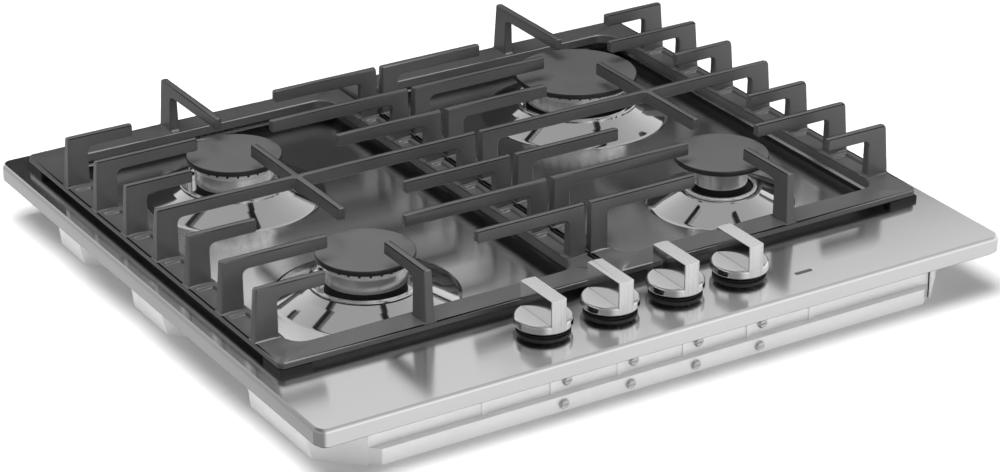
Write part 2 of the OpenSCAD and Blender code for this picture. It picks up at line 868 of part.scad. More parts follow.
module tap_body(i) {
    lug_front = box_front_y + box_t - knob_y;
    lug_low = box_front_y - ledge_out + box_t - knob_y;
    body_foot = -valve_drop - valve_h;
    color(bright_steel)
        at_knob(i)
            difference() {
                union() {
                    translate([-valve_w / 2, -valve_reach, body_foot])
                        cube([valve_w, 2 * valve_reach, valve_h]);
                    translate([-tap_lug_w / 2, lug_front, body_foot])
                        cube([tap_lug_w, -lug_front, tap_lug_h]);
                    translate([-tap_lug_w / 2, lug_low, lower_screw_z - box_screw_d])
                        cube([tap_lug_w, -lug_low, 2 * box_screw_d]);
                }
                translate([0, 0, cone_top - cone_h])
                    cylinder(r1 = cone_foot_r + fit_gap, r2 = cone_top_r + fit_gap, h = cone_h);
                translate([0, 0, cone_top - fit_gap])
                    cylinder(r = cone_top_r + fit_gap, h = 2 * cut);
                translate([0, 0, cone_top - cone_h - fit_gap])
                    cylinder(r = cone_foot_r + fit_gap, h = 2 * fit_gap);
                translate([0, 0, manifold_z])
                    rotate([-90, 0, 0])
                        cylinder(d = tap_port_d, h = valve_reach + cut);
                translate([0, 0, pipe_z])
                    rotate([-90, 0, 0])
                        cylinder(d = pipe_d - 2 * pipe_t, h = valve_reach + cut);
                translate([0, valve_reach - pipe_seat, pipe_z])
                    rotate([-90, 0, 0])
                        cylinder(d = pipe_d + 2 * fit_gap, h = pipe_seat + cut);
                translate([0, 0, pipe_z])
                    cylinder(d = pipe_d - 2 * pipe_t, h = cone_top - cone_h - pipe_z);
                translate([upper_screw_dx, lug_front - cut, upper_screw_z])
                    rotate([-90, 0, 0])
                        cylinder(d = box_screw_d + 2 * fit_gap, h = box_screw_l + cut);
                translate([lower_screw_dx, lug_low - cut, lower_screw_z])
                    rotate([-90, 0, 0])
                        cylinder(d = box_screw_d + 2 * fit_gap, h = box_screw_l + cut);
            }
}

module tap_covers() {
    color(bright_steel)
        for (i = [0 : knob_count - 1])
            at_knob(i)
                translate([0, 0, -valve_drop])
                    difference() {
                        translate([-valve_w / 2, -valve_reach, 0])
                            cube([valve_w, 2 * valve_reach, valve_cover_h]);
                        translate([0, 0, -cut])
                            cylinder(d = spindle_d + 2 * slide_gap, h = valve_cover_h + 2 * cut);
                    }
}

// Tapered cone with a slot across its top that the spindle's tongue turns
module tap_cone(i) {
    color(brass)
        at_knob(i)
            translate([0, 0, cone_top - cone_h])
                difference() {
                    cylinder(r1 = cone_foot_r, r2 = cone_top_r, h = cone_h - fit_gap);
                    translate([-slot_l / 2, -slot_w / 2, cone_h - slot_depth])
                        cube([slot_l, slot_w, slot_depth + cut]);
                    translate([0, 0, manifold_z - cone_top + cone_h])
                        rotate([0, 90, 0])
                            cylinder(d = tap_port_d / 2, h = 2 * cone_top_r, center = true);
                }
}

// Spindle: round shaft with a tongue at its foot, a collar under the plate and a flat on its side
spindle_top = 19;
spindle_collar_d = 9;
spindle_collar_h = 2;
spindle_collar_z = -6;
spindle_flat = 1;

module tap_spindle(i) {
    shaft_foot = cone_top + push_travel + slide_gap;
    tongue_h = push_travel + tongue_reach;
    color(alloy)
        at_knob(i)
            difference() {
                union() {
                    translate([0, 0, shaft_foot])
                        cylinder(d = spindle_d, h = spindle_top - shaft_foot);
                    translate([0, 0, spindle_collar_z])
                        cylinder(d = spindle_collar_d, h = spindle_collar_h);
                    translate([-tongue_l / 2, -tongue_w / 2, shaft_foot - tongue_h])
                        cube([tongue_l, tongue_w, tongue_h + cut]);
                }
                translate([spindle_d / 2 - spindle_flat, -spindle_d / 2, knob_lift])
                    cube([spindle_flat + cut, spindle_d, spindle_top - knob_lift + cut]);
            }
}

// Knob: round disc with a straight grip bar across it, bored for the spindle
knob_foot_bevel = 0.6;

module knob(i) {
    color(steel)
        at_knob(i)
            difference() {
                union() {
                    rotate_extrude()
                        polygon([
                            [0, knob_lift],
                            [knob_d / 2 - knob_foot_bevel, knob_lift],
                            [knob_d / 2, knob_lift + knob_foot_bevel],
                            [knob_d / 2, knob_lift + knob_disc_h - knob_bevel],
                            [knob_d / 2 - knob_bevel, knob_lift + knob_disc_h],
                            [0, knob_lift + knob_disc_h]
                        ]);
                    translate([0, 0, knob_lift + knob_foot_bevel])
                        intersection() {
                            cylinder(d = knob_d, h = knob_h - knob_lift - knob_foot_bevel);
                            translate([-knob_bar_w / 2, -knob_d, 0])
                                cube([knob_bar_w, 2 * knob_d, knob_h]);
                        }
                }
                difference() {
                    translate([0, 0, knob_lift - cut])
                        cylinder(d = spindle_d + 2 * fit_gap, h = spindle_top - knob_lift + cut + fit_gap);
                    translate([spindle_d / 2 - spindle_flat + fit_gap, -spindle_d, knob_lift - cut])
                        cube([spindle_d, 2 * spindle_d, spindle_top]);
                }
            }
}

// Gas manifold: closed square tube behind the taps, with a port for each tap and one for the supply
manifold_left = knob_x(0) - valve_w;
manifold_y = knob_y + valve_reach + manifold_w / 2;
pipe_seat = 6;

module gas_manifold() {
    run = inlet_x + manifold_w / 2 - manifold_left;
    color(bright_steel)
        difference() {
            translate([manifold_left, manifold_y - manifold_w / 2, deck_z + manifold_z - manifold_w / 2])
                cube([run, manifold_w, manifold_w]);
            translate([manifold_left, manifold_y - manifold_w / 2, deck_z + manifold_z - manifold_w / 2])
                translate([manifold_t, manifold_t, manifold_t])
                    cube([run - 2 * manifold_t, manifold_w - 2 * manifold_t, manifold_w - 2 * manifold_t]);
            for (i = [0 : knob_count - 1])
                translate([knob_x(i), manifold_y - manifold_w / 2 - cut, deck_z + manifold_z])
                    rotate([-90, 0, 0])
                        cylinder(d = tap_port_d, h = manifold_t + 2 * cut);
            translate([inlet_x, manifold_y + manifold_w / 2 - manifold_t - cut, deck_z + supply_z])
                rotate([-90, 0, 0])
                    cylinder(d = supply_d - 2 * manifold_t, h = manifold_t + 2 * cut);
        }
}

// Supply pipe from the manifold to the threaded inlet at the back wall
inlet_nut_d = 25;
inlet_nut_l = 10;
inlet_neck_d = 18;

module gas_inlet_pipe() {
    pipe_start = manifold_y + manifold_w / 2;
    nut_foot = box_back_y - box_t - inlet_nut_l;
    color(brass)
        translate([inlet_x, 0, deck_z + supply_z])
            rotate([-90, 0, 0])
                difference() {
                    union() {
                        translate([0, 0, pipe_start])
                            cylinder(d = supply_d, h = nut_foot - pipe_start + cut);
                        translate([0, 0, nut_foot])
                            cylinder(d = inlet_nut_d, h = inlet_nut_l, $fn = injector_sides);
                        translate([0, 0, nut_foot])
                            cylinder(d = inlet_neck_d, h = inlet_nut_l + box_t + cut);
                        translate([0, 0, box_back_y])
                            cylinder(d = inlet_thread_d, h = inlet_thread_l);
                    }
                    translate([0, 0, pipe_start - cut])
                        cylinder(d = supply_d - 2 * manifold_t, h = plate_d);
                }
}

// Burner pipe: out of the tap, back, round one bend and into the burner cup's boss
module pipe_path(i, d) {
    k = i == 0 || i == 1 ? medium : i == 2 ? large : small;
    side = i < knob_count / 2 ? left : right;
    y_end = i == 0 || i == knob_count - 1 ? burner_front_y : burner_back_y;
    y_start = knob_y + valve_reach - pipe_seat + fit_gap;
    x_end = side * (burner_x - boss_end(k) + boss_out - fit_gap);
    x_bend = abs(knob_x(i)) + pipe_bend_r;
    translate([knob_x(i), y_start, 0])
        rotate([-90, 0, 0])
            cylinder(d = d, h = y_end - pipe_bend_r - y_start);
    translate([side * x_bend, y_end - pipe_bend_r, 0])
        mirror([side == right ? 1 : 0, 0, 0])
            rotate_extrude(angle = 90)
                translate([pipe_bend_r, 0])
                    circle(d = d);
    translate([side * x_bend, y_end, 0])
        rotate([0, side * 90, 0])
            cylinder(d = d, h = abs(x_end) - x_bend);
}

module gas_pipe(i) {
    color(alloy)
        translate([0, 0, deck_z + pipe_z])
            difference() {
                pipe_path(i, pipe_d);
                pipe_path(i, pipe_d - 2 * pipe_t);
            }
}

// Spark generator on the box floor between the pipes
generator_w = 38;
generator_d = 64;
generator_h = 24;
generator_y = 30;
generator_tab = 8;
generator_tab_h = 3;

module ignition_generator() {
    color(black)
        translate([0, generator_y, box_t]) {
            translate([-generator_w / 2, -generator_d / 2, 0])
                cube([generator_w, generator_d, generator_h]);
            translate([-generator_w / 4, -generator_d / 2 - generator_tab, 0])
                cube([generator_w / 2, generator_d + 2 * generator_tab, generator_tab_h]);
        }
}

// Ignition switches, one on each tap cover beside the spindle
switch_w = 5;
switch_d = 14;
switch_h = 7;

module ignition_switches() {
    color(black)
        for (i = [0 : knob_count - 1])
            at_knob(i)
                translate([valve_w / 2 - switch_w, -switch_d / 2, -valve_drop + valve_cover_h])
                    cube([switch_w, switch_d, switch_h]);
}

// A lead laid along straight runs with round corners
module lead(points, d) {
    for (i = [0 : len(points) - 2]) {
        a = points[i];
        b = points[i + 1];
        run = b - a;
        length = norm(run);
        translate(a)
            rotate([0, acos(run[2] / length), atan2(run[1], run[0])])
                cylinder(d = d, h = length);
    }
    if (len(points) > 2)
        for (i = [1 : len(points) - 2])
            translate(points[i])
                sphere(d = d);
}

lead_d = 2;
lead_side = 12;
lead_level = -16;
probe_lead_d = 1.5;
probe_lead_level = -13;
probe_lead_foot = -20;

function channel_point(side, y, k, angle, z) = [
    side * (burner_x + channel_r(k) * cos(angle)), y + channel_r(k) * sin(angle), deck_z + z
];

// Spark lead: from an igniter's foot past its cup, over the pipes and down to the generator's top
module ignition_lead(side, y, k) {
    foot = channel_point(side, y, k, igniter_angle, igniter_foot - fit_gap);
    lane_x = side * (burner_x + lip_inner_r(k));
    level = deck_z + lead_level;
    turn_y = y > 0 ? y - lip_r(k) - lead_side : y + lip_r(k) + lead_side;
    generator_x = side * generator_w / 4;
    plug_y = y > 0 ? generator_y + generator_d / 4 : generator_y - generator_d / 4;
    lead([
        foot,
        [foot[0], foot[1], level],
        [lane_x, foot[1], level],
        [lane_x, turn_y, level],
        [generator_x, turn_y, level],
        [generator_x, plug_y, level],
        [generator_x, plug_y, box_t + generator_h + fit_gap]
    ], lead_d);
}

module ignition_leads() {
    color("Firebrick") {
        ignition_lead(left, burner_back_y, medium);
        ignition_lead(left, burner_front_y, medium);
        ignition_lead(right, burner_back_y, large);
        ignition_lead(right, burner_front_y, small);
    }
}

// Thermocouple lead: from a probe's foot over the manifold to the side of its tap
module probe_lead(side, y, k, tap, lane_x) {
    foot = channel_point(side, y, k, probe_angle, probe_foot - fit_gap);
    level = deck_z + probe_lead_level;
    low = deck_z + probe_lead_foot;
    x = side * lane_x;
    lead([
        foot,
        [foot[0], foot[1], level],
        [x, foot[1], level],
        [x, knob_y, level],
        [x, knob_y, low],
        [knob_x(tap) + side * (valve_w / 2 + fit_gap), knob_y, low]
    ], probe_lead_d);
}

module thermocouple_leads() {
    outer_lane = knob_x(knob_count - 1) + valve_w + lead_side;
    inner_lane = knob_pitch;
    color("Peru") {
        probe_lead(left, burner_front_y, medium, 0, outer_lane);
        probe_lead(left, burner_back_y, medium, 1, inner_lane);
        probe_lead(right, burner_back_y, large, 2, inner_lane);
        probe_lead(right, burner_front_y, small, 3, outer_lane);
    }
}

// Terminal block for the mains on the box floor at the back
terminal_w = 40;
terminal_d = 22;
terminal_h = 18;
terminal_x = -40;
terminal_gap = 20;
terminal_poles = 3;
terminal_hole_d = 5;
terminal_hole_depth = 10;

module terminal_block() {
    pole_pitch = terminal_w / terminal_poles;
    color("WhiteSmoke")
        translate([terminal_x, box_back_y - terminal_gap, box_t])
            difference() {
                translate([-terminal_w / 2, -terminal_d / 2, 0])
                    cube([terminal_w, terminal_d, terminal_h]);
                for (i = [0 : terminal_poles - 1])
                    translate([(i + 0.5) * pole_pitch - terminal_w / 2, 0, terminal_h - terminal_hole_depth])
                        cylinder(d = terminal_hole_d, h = terminal_hole_depth + cut);
            }
}

// Screw with a bevelled round head whose underside is at z = 0 and a slot across the top
module screw(d, head_d, head_h, l) {
    difference() {
        union() {
            translate([0, 0, -l])
                cylinder(d = d, h = l + head_h / 2);
            cylinder(d = head_d, h = head_h / 2);
            translate([0, 0, head_h / 2])
                cylinder(d1 = head_d, d2 = head_d - head_h, h = head_h / 2);
        }
        translate([-head_d / 2, -box_screw_slot_w / 2, head_h - box_screw_slot_h])
            cube([head_d, box_screw_slot_w, box_screw_slot_h + cut]);
    }
}

module box_screws() {
    color(bright_steel)
        for (i = [0 : knob_count - 1]) {
            translate([knob_x(i) + upper_screw_dx, box_front_y, deck_z + upper_screw_z])
                rotate([90, 0, 0])
                    screw(box_screw_d, box_screw_head_d, box_screw_head_h, box_screw_l);
            translate([knob_x(i) + lower_screw_dx, box_front_y - ledge_out, deck_z + lower_screw_z])
                rotate([90, 0, 0])
                    screw(box_screw_d, box_screw_head_d, box_screw_head_h, box_screw_l);
        }
}

module burner_screws() {
    color(bright_steel)
        for (b = [[left, burner_back_y, medium], [left, burner_front_y, medium],
                  [right, burner_back_y, large], [right, burner_front_y, small]])
            at_burner(b[0], b[1])
                for (a = screw_angles)
                    round_burner(b[0], b[2], a)
                        translate([0, 0, channel_top])
                            screw(burner_screw_d, burner_screw_head_d, burner_screw_head_h, burner_screw_l);
}

// Pan supports, drawn for the right side and mirrored for the left
frame_corner_r = 5;
window_corner_r = 14;
finger_bevel = 0.8;
leg_fillet = 2.5;
pocket_edge = 4;
pocket_depth = 2.5;
arc_steps = 6;
support_mid_x = (support_outer_x + support_seam_x) / 2;
support_mid_y = (support_front_y + support_back_y) / 2;
frame_w = support_outer_x - support_seam_x;
frame_d = support_back_y - support_front_y;
frame_window_w = frame_w - rail_w - seam_rail_w;
frame_window_d = frame_d - 2 * rail_w;
frame_window_x = support_seam_x + seam_rail_w + frame_window_w / 2;

// Points of an arc about a centre, from angle a to angle b
function arc_angle(a, b, i) = a + (b - a) * i / arc_steps;
function arc(cx, cy, r, a, b) = [
    for (i = [0 : arc_steps]) [cx + r * cos(arc_angle(a, b, i)), cy + r * sin(arc_angle(a, b, i))]
];

// Taper of a finger from its foot to its top, laid along +X for the given length
module finger_taper(length) {
    rotate([90, 0, 90])
        linear_extrude(length)
            polygon([
                [-finger_foot_t / 2, frame_under],
                [finger_foot_t / 2, frame_under],
                [finger_top_t / 2, support_h - finger_bevel],
                [finger_top_t / 2 - finger_bevel, support_h],
                [-finger_top_t / 2 + finger_bevel, support_h],
                [-finger_top_t / 2, support_h - finger_bevel]
            ]);
}

// Leg and arm along +X from the frame's outer edge at x = 0 to the tip
module finger(length, w, lean) {
    arm_under = support_h - arm_h;
    intersection() {
        translate([0, finger_foot_t / 2, 0])
            rotate([90, 0, 0])
                linear_extrude(finger_foot_t)
                    polygon(concat(
                        [[0, frame_under], [w + leg_fillet, frame_under]],
                        arc(w + leg_fillet, frame_top_h + leg_fillet, leg_fillet, 270, 180),
                        arc(w + arm_r, arm_under - arm_r, arm_r, 180, 90),
                        [
                            [length, arm_under],
                            [length, support_h],
                            [lean, support_h]
                        ]
                    ));
        finger_taper(length);
    }
}

module cross_beam() {
    translate([burner_x, row_y(middle_row) - cross_reach, 0])
        rotate(90)
            intersection() {
                translate([0, -finger_foot_t / 2, support_h - arm_h])
                    cube([2 * cross_reach, finger_foot_t, arm_h]);
                finger_taper(2 * cross_reach);
            }
}

module support_frame() {
    translate([0, 0, frame_under])
        linear_extrude(frame_edge_t)
            difference() {
                translate([support_mid_x, support_mid_y])
                    rounded_rect(frame_w, frame_d, frame_corner_r);
                translate([frame_window_x, support_mid_y])
                    rounded_rect(frame_window_w, frame_window_d, window_corner_r);
            }
    translate([frame_window_x, support_mid_y, frame_top_h - frame_lip_h])
        linear_extrude(frame_lip_h)
            difference() {
                rounded_rect(frame_window_w + 2 * frame_lip_t, frame_window_d + 2 * frame_lip_t,
                             window_corner_r + frame_lip_t);
                rounded_rect(frame_window_w, frame_window_d, window_corner_r);
            }
}

// Shallow pockets between the legs along one rail, from x0 to x1
module rail_pockets(x0, x1) {
    pocket_l = finger_pitch - finger_foot_t - 2 * pocket_edge;
    for (i = [0 : rows - 2])
        translate([x0, (row_y(i) + row_y(i + 1)) / 2 - pocket_l / 2, frame_top_h - pocket_depth])
            cube([x1 - x0, pocket_l, pocket_depth + cut]);
}

module pan_support() {
    difference() {
        support_frame();
        rail_pockets(support_outer_x - rail_w + pocket_edge, support_outer_x - pocket_edge);
        rail_pockets(support_seam_x + pocket_edge, support_seam_x + seam_rail_w - pocket_edge);
    }
    for (i = [0 : rows - 1]) {
        tip = i == middle_row ? -cut : i == back_row || i == front_row ? tip_near : tip_far;
        translate([support_outer_x, row_y(i), 0])
            rotate(180)
                finger(support_outer_x - burner_x - tip, leg_w, leg_lean);
        translate([support_seam_x, row_y(i), 0])
            finger(burner_x - support_seam_x - tip, seam_leg_w, seam_lean);
    }
    translate([burner_x, support_front_y, 0])
        rotate(90)
            finger(burner_front_y - front_tip - support_front_y, leg_w, leg_lean);
    translate([burner_x, support_back_y, 0])
        rotate(-90)
            finger(support_back_y - burner_back_y - back_tip, leg_w, leg_lean);
    cross_beam();
}

// Foot pads: an angle at each outer corner and a bar at each corner by the gap
module support_pads() {
    for (end = [[support_front_y, 1], [support_back_y, -1]]) {
        y = end[0];
        s = end[1];
        linear_extrude(frame_under)
            polygon([
                [support_outer_x, y],
                [support_outer_x, y + s * pad_l],
                [support_outer_x - pad_w, y + s * pad_l],
                [support_outer_x - pad_w, y + s * pad_w],
                [support_outer_x - pad_l, y + s * pad_w],
                [support_outer_x - pad_l, y]
            ]);
        linear_extrude(frame_under)
            polygon([
                [support_seam_x, y],
                [support_seam_x, y + s * pad_w],
                [support_seam_x + pad_l, y + s * pad_w],
                [support_seam_x + pad_l, y]
            ]);
    }
}

module pan_support_right() {
    color(black_iron)
        on_deck()
            pan_support();
}

module pan_support_left() {
    color(black_iron)
        mirror([1, 0, 0])
            on_deck()
                pan_support();
}

module support_feet_right() {
    color(black)
        on_deck()
            support_pads();
}

module support_feet_left() {
    color(black)
        mirror([1, 0, 0])
            on_deck()
                support_pads();
}

top_plate();
burner_box();
worktop_seal();
indicator_window();
knob_bezels();
burner_cup(left, burner_back_y, medium);  // burner_cup_left_back
burner_cup(left, burner_front_y, medium);  // burner_cup_left_front
burner_cup(right, burner_back_y, large);  // burner_cup_right_back
burner_cup(right, burner_front_y, small);  // burner_cup_right_front
flame_ring(left, burner_back_y, medium);  // flame_ring_left_back
flame_ring(left, burner_front_y, medium);  // flame_ring_left_front
flame_ring(right, burner_back_y, large);  // flame_ring_right_back
flame_ring(right, burner_front_y, small);  // flame_ring_right_front
burner_cap(left, burner_back_y, medium);  // burner_cap_left_back
burner_cap(left, burner_front_y, medium);  // burner_cap_left_front
burner_cap(right, burner_back_y, large);  // burner_cap_right_back
burner_cap(right, burner_front_y, small);  // burner_cap_right_front
igniter(left, burner_back_y, medium);  // igniter_left_back
igniter(left, burner_front_y, medium);  // igniter_left_front
igniter(right, burner_back_y, large);  // igniter_right_back
igniter(right, burner_front_y, small);  // igniter_right_front
thermocouple(left, burner_back_y, medium);  // thermocouple_left_back
thermocouple(left, burner_front_y, medium);  // thermocouple_left_front
thermocouple(right, burner_back_y, large);  // thermocouple_right_back
thermocouple(right, burner_front_y, small);  // thermocouple_right_front
gas_injectors();
gas_manifold();
gas_inlet_pipe();
tap_body(0);  // tap_body_1
tap_body(1);  // tap_body_2
tap_body(2);  // tap_body_3
tap_body(3);  // tap_body_4
gas_pipe(0);  // gas_pipe_1
gas_pipe(1);  // gas_pipe_2
gas_pipe(2);  // gas_pipe_3
gas_pipe(3);  // gas_pipe_4
tap_covers();
ignition_generator();
ignition_switches();
ignition_leads();
thermocouple_leads();
terminal_block();
box_screws();
burner_screws();
pan_support_left();
pan_support_right();
support_feet_left();
support_feet_right();
tap_cone(0);  // tap_cone_1
tap_cone(1);  // tap_cone_2
tap_cone(2);  // tap_cone_3
tap_cone(3);  // tap_cone_4
tap_spindle(0);  // tap_spindle_1
tap_spindle(1);  // tap_spindle_2
tap_spindle(2);  // tap_spindle_3
tap_spindle(3);  // tap_spindle_4
knob(0);  // knob_1
knob(1);  // knob_2
knob(2);  // knob_3
knob(3);  // knob_4
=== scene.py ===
"""Dresses a four-burner gas cooktop: sheet metal, burners, cast pan supports, knobs, studio and camera."""

import json
import logging
import math
from dataclasses import dataclass, field
from enum import Enum
from typing import Any, Callable, Iterable, Sequence

import bpy
from bpy.types import Material, Mesh, MeshPolygon, Node, NodeSocket, NodeTree, Object
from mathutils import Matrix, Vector

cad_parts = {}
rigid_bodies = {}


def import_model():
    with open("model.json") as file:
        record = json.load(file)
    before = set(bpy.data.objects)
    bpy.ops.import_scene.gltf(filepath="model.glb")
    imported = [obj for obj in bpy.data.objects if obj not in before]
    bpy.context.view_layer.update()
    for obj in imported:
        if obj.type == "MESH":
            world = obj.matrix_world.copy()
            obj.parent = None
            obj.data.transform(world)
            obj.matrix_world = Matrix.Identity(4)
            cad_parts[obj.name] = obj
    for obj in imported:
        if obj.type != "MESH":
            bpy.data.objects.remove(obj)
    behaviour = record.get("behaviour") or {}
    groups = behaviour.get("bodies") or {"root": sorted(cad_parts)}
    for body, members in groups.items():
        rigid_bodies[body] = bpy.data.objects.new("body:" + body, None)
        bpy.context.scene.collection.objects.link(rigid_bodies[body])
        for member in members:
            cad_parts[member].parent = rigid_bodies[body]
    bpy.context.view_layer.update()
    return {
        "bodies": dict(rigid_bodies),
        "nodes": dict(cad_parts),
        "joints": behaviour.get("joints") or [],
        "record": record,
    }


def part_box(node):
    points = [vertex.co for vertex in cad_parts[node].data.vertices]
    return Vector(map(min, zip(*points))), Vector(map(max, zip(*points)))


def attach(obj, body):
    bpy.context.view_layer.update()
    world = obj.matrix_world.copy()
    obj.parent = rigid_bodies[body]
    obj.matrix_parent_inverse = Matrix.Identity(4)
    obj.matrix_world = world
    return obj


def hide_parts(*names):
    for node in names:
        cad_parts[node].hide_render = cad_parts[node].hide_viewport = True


LOG = logging.getLogger("cooktop")
MM = 0.001
DECK = 50 * MM  # height of the plate's flat top
Point = tuple[float, float]
Triple = tuple[float, float, float]
KNOBS = tuple(f"knob_{index}" for index in range(1, 5))


class Spot(Enum):
    """The four burner places, by the ending of their nodes' names."""

    LEFT_BACK = "left_back"
    LEFT_FRONT = "left_front"
    RIGHT_BACK = "right_back"
    RIGHT_FRONT = "right_front"


class Element(Enum):
    """What is picked in edit mode."""

    EDGE = "EDGE"
    FACE = "FACE"


class Easing(Enum):
    """How a value moves across a span."""

    LINEAR = "LINEAR"
    SMOOTH = "SMOOTHSTEP"


class CapFace(Enum):
    """The faces of a cap, by material slot: the flat top, and the side and underside that get a darker copy of the
    enamel as painted shade.
    """

    TOP = 0
    EDGE = 1


class RingFace(Enum):
    """The faces of a flame ring, by material slot: turned wall, band between the ports, and the inner faces painted
    near-black as shade.
    """

    WALL = 0
    BAND = 1
    SOOT = 2


class KnobFace(Enum):
    """The faces of a knob, by material slot."""

    EDGE = 0
    BAR = 1
    DISC = 2


class Bench:
    """Object and edit-mode moves that every modelled piece shares."""

    merge_gap = 0.002 * MM
    face_weight = 80

    @staticmethod
    def clear() -> None:
        """Leaves edit mode and deselects everything."""
        if bpy.context.object and bpy.context.object.mode != "OBJECT":
            bpy.ops.object.mode_set(mode="OBJECT")
        bpy.ops.object.select_all(action="DESELECT")

    @staticmethod
    def hold(obj: Object) -> None:
        """Makes obj the one selected and active object.

        Args:
            obj: the object to work on.
        """
        Bench.clear()
        obj.select_set(True)
        bpy.context.view_layer.objects.active = obj

    @staticmethod
    def settle(obj: Object) -> None:
        """Moves an object's place, turn and scale into its mesh."""
        Bench.hold(obj)
        bpy.ops.object.transform_apply(location=True, rotation=True, scale=True)

    @staticmethod
    def added(name: str) -> Object:
        """Names the object that was just added and settles it at the origin.

        Args:
            name: its name.

        Returns:
            The object.
        """
        obj = bpy.context.object
        obj.name = name
        Bench.settle(obj)
        return obj

    @staticmethod
    def open(obj: Object) -> None:
        """Opens edit mode with the whole mesh selected.

        Args:
            obj: the object to edit.
        """
        Bench.hold(obj)
        bpy.ops.object.mode_set(mode="EDIT")
        bpy.ops.mesh.select_mode(type="VERT")
        bpy.ops.mesh.select_all(action="SELECT")

    @staticmethod
    def block(name: str, low: Sequence[float], high: Sequence[float]) -> Object:
        """Adds a block between two corners, as the start of a piece.

        Args:
            name: the new object's name.
            low: lowest corner, in metres.
            high: highest corner, in metres.

        Returns:
            The new object, settled at the origin.
        """
        Bench.clear()
        middle = [(a + b) / 2 for a, b in zip(low, high)]
        size = [b - a for a, b in zip(low, high)]
        bpy.ops.mesh.primitive_cube_add(size=1, location=middle, scale=size)
        return Bench.added(name)

    @staticmethod
    def drum(name: str, centre: Sequence[float], radius: float, low: float, high: float, sides: int = 96) -> Object:
        """Adds an upright drum, used to cut round holes.

        Args:
            name: the new object's name.
            centre: the axis in X and Y, in metres.
            radius: the drum's radius.
            low: height of its foot.
            high: height of its top.
            sides: how many sides stand for the round.

        Returns:
            The new object, settled at the origin.
        """
        Bench.clear()
        bpy.ops.mesh.primitive_cylinder_add(vertices=sides, radius=radius, depth=high - low,
                                            location=(centre[0], centre[1], (low + high) / 2))
        return Bench.added(name)

    @staticmethod
    def lathe(name: str, centre: Sequence[float], profile: Sequence[Point], steps: int = 128) -> Object:
        """Turns a profile about an upright axis.

        Args:
            name: the new object's name.
            centre: the axis in X and Y, in metres.
            profile: points of (radius, height) in metres, followed as one line.
            steps: how many steps the full turn has.

        Returns:
            The turned object, with its doubles merged and its faces outward.
        """
        Bench.clear()
        radius, height = profile[0]
        bpy.ops.mesh.primitive_plane_add(size=MM, location=(centre[0] + radius, centre[1], height))
        obj = Bench.added(name)
        Bench.open(obj)
        bpy.ops.mesh.merge(type="CENTER")
        for (r0, z0), (r1, z1) in zip(profile, profile[1:]):
            bpy.ops.mesh.extrude_vertices_move(TRANSFORM_OT_translate={"value": (r1 - r0, 0, z1 - z0)})
        bpy.ops.mesh.select_all(action="SELECT")
        bpy.ops.mesh.spin(steps=steps, angle=2 * math.pi, center=(centre[0], centre[1], 0), axis=(0, 0, 1))
        bpy.ops.mesh.select_all(action="SELECT")
        bpy.ops.mesh.remove_doubles(threshold=Bench.merge_gap)
        bpy.ops.mesh.normals_make_consistent(inside=False)
        Bench.done()
        return obj

    @staticmethod
    def pick(obj: Object, kind: Element, test: Callable[[Any], bool]) -> None:
        """Selects edges or faces in code and opens edit mode on them.

        Args:
            obj: the object to edit.
            kind: whether edges or faces are picked.
            test: says of an edge or a face whether it is wanted.
        """
        Bench.hold(obj)
        bpy.ops.object.mode_set(mode="EDIT")
        bpy.ops.mesh.select_mode(type=kind.value)
        bpy.ops.mesh.select_all(action="DESELECT")
        bpy.ops.object.mode_set(mode="OBJECT")
        for item in obj.data.edges if kind is Element.EDGE else obj.data.polygons:
            item.select = test(item)
        bpy.ops.object.mode_set(mode="EDIT")

    @staticmethod
    def done() -> None:
        """Leaves edit mode."""
        bpy.ops.object.mode_set(mode="OBJECT")

    @staticmethod
    def apply(obj: Object, kind: str, **values: Any) -> None:
        """Adds a modifier with the given values and applies it.

        Args:
            obj: the object that gets it.
            kind: the modifier's type.
            **values: its settings.
        """
        Bench.hold(obj)
        modifier = obj.modifiers.new(kind.lower(), kind)
        for key, value in values.items():
            setattr(modifier, key, value)
        bpy.ops.object.modifier_apply(modifier=modifier.name)

    @staticmethod
    def cut(obj: Object, tools: Iterable[Object]) -> None:
        """Cuts tools out of an object and removes them.

        Args:
            obj: the object that is cut.
            tools: the cutting objects.
        """
        for tool in tools:
            Bench.apply(obj, "BOOLEAN", operation="DIFFERENCE", object=tool, solver="EXACT")
            bpy.data.objects.remove(tool, do_unlink=True)

    @staticmethod
    def join(name: str, objs: Sequence[Object]) -> Object:
        """Joins objects into one mesh.

        Args:
            name: the joined object's name.
            objs: the objects to join.

        Returns:
            The joined object.
        """
        Bench.hold(objs[0])
        for obj in objs[1:]:
            obj.select_set(True)
        bpy.ops.object.join()
        objs[0].name = name
        return objs[0]

    @staticmethod
    def smooth(obj: Object, degrees: float = 35) -> None:
        """Shades an object smooth, with edges sharper than an angle kept.

        Args:
            obj: the object to shade.
            degrees: the angle past which an edge stays sharp.
        """
        Bench.hold(obj)
        bpy.ops.object.shade_smooth_by_angle(angle=math.radians(degrees))
        Bench.apply(obj, "WEIGHTED_NORMAL", keep_sharp=True, weight=Bench.face_weight)


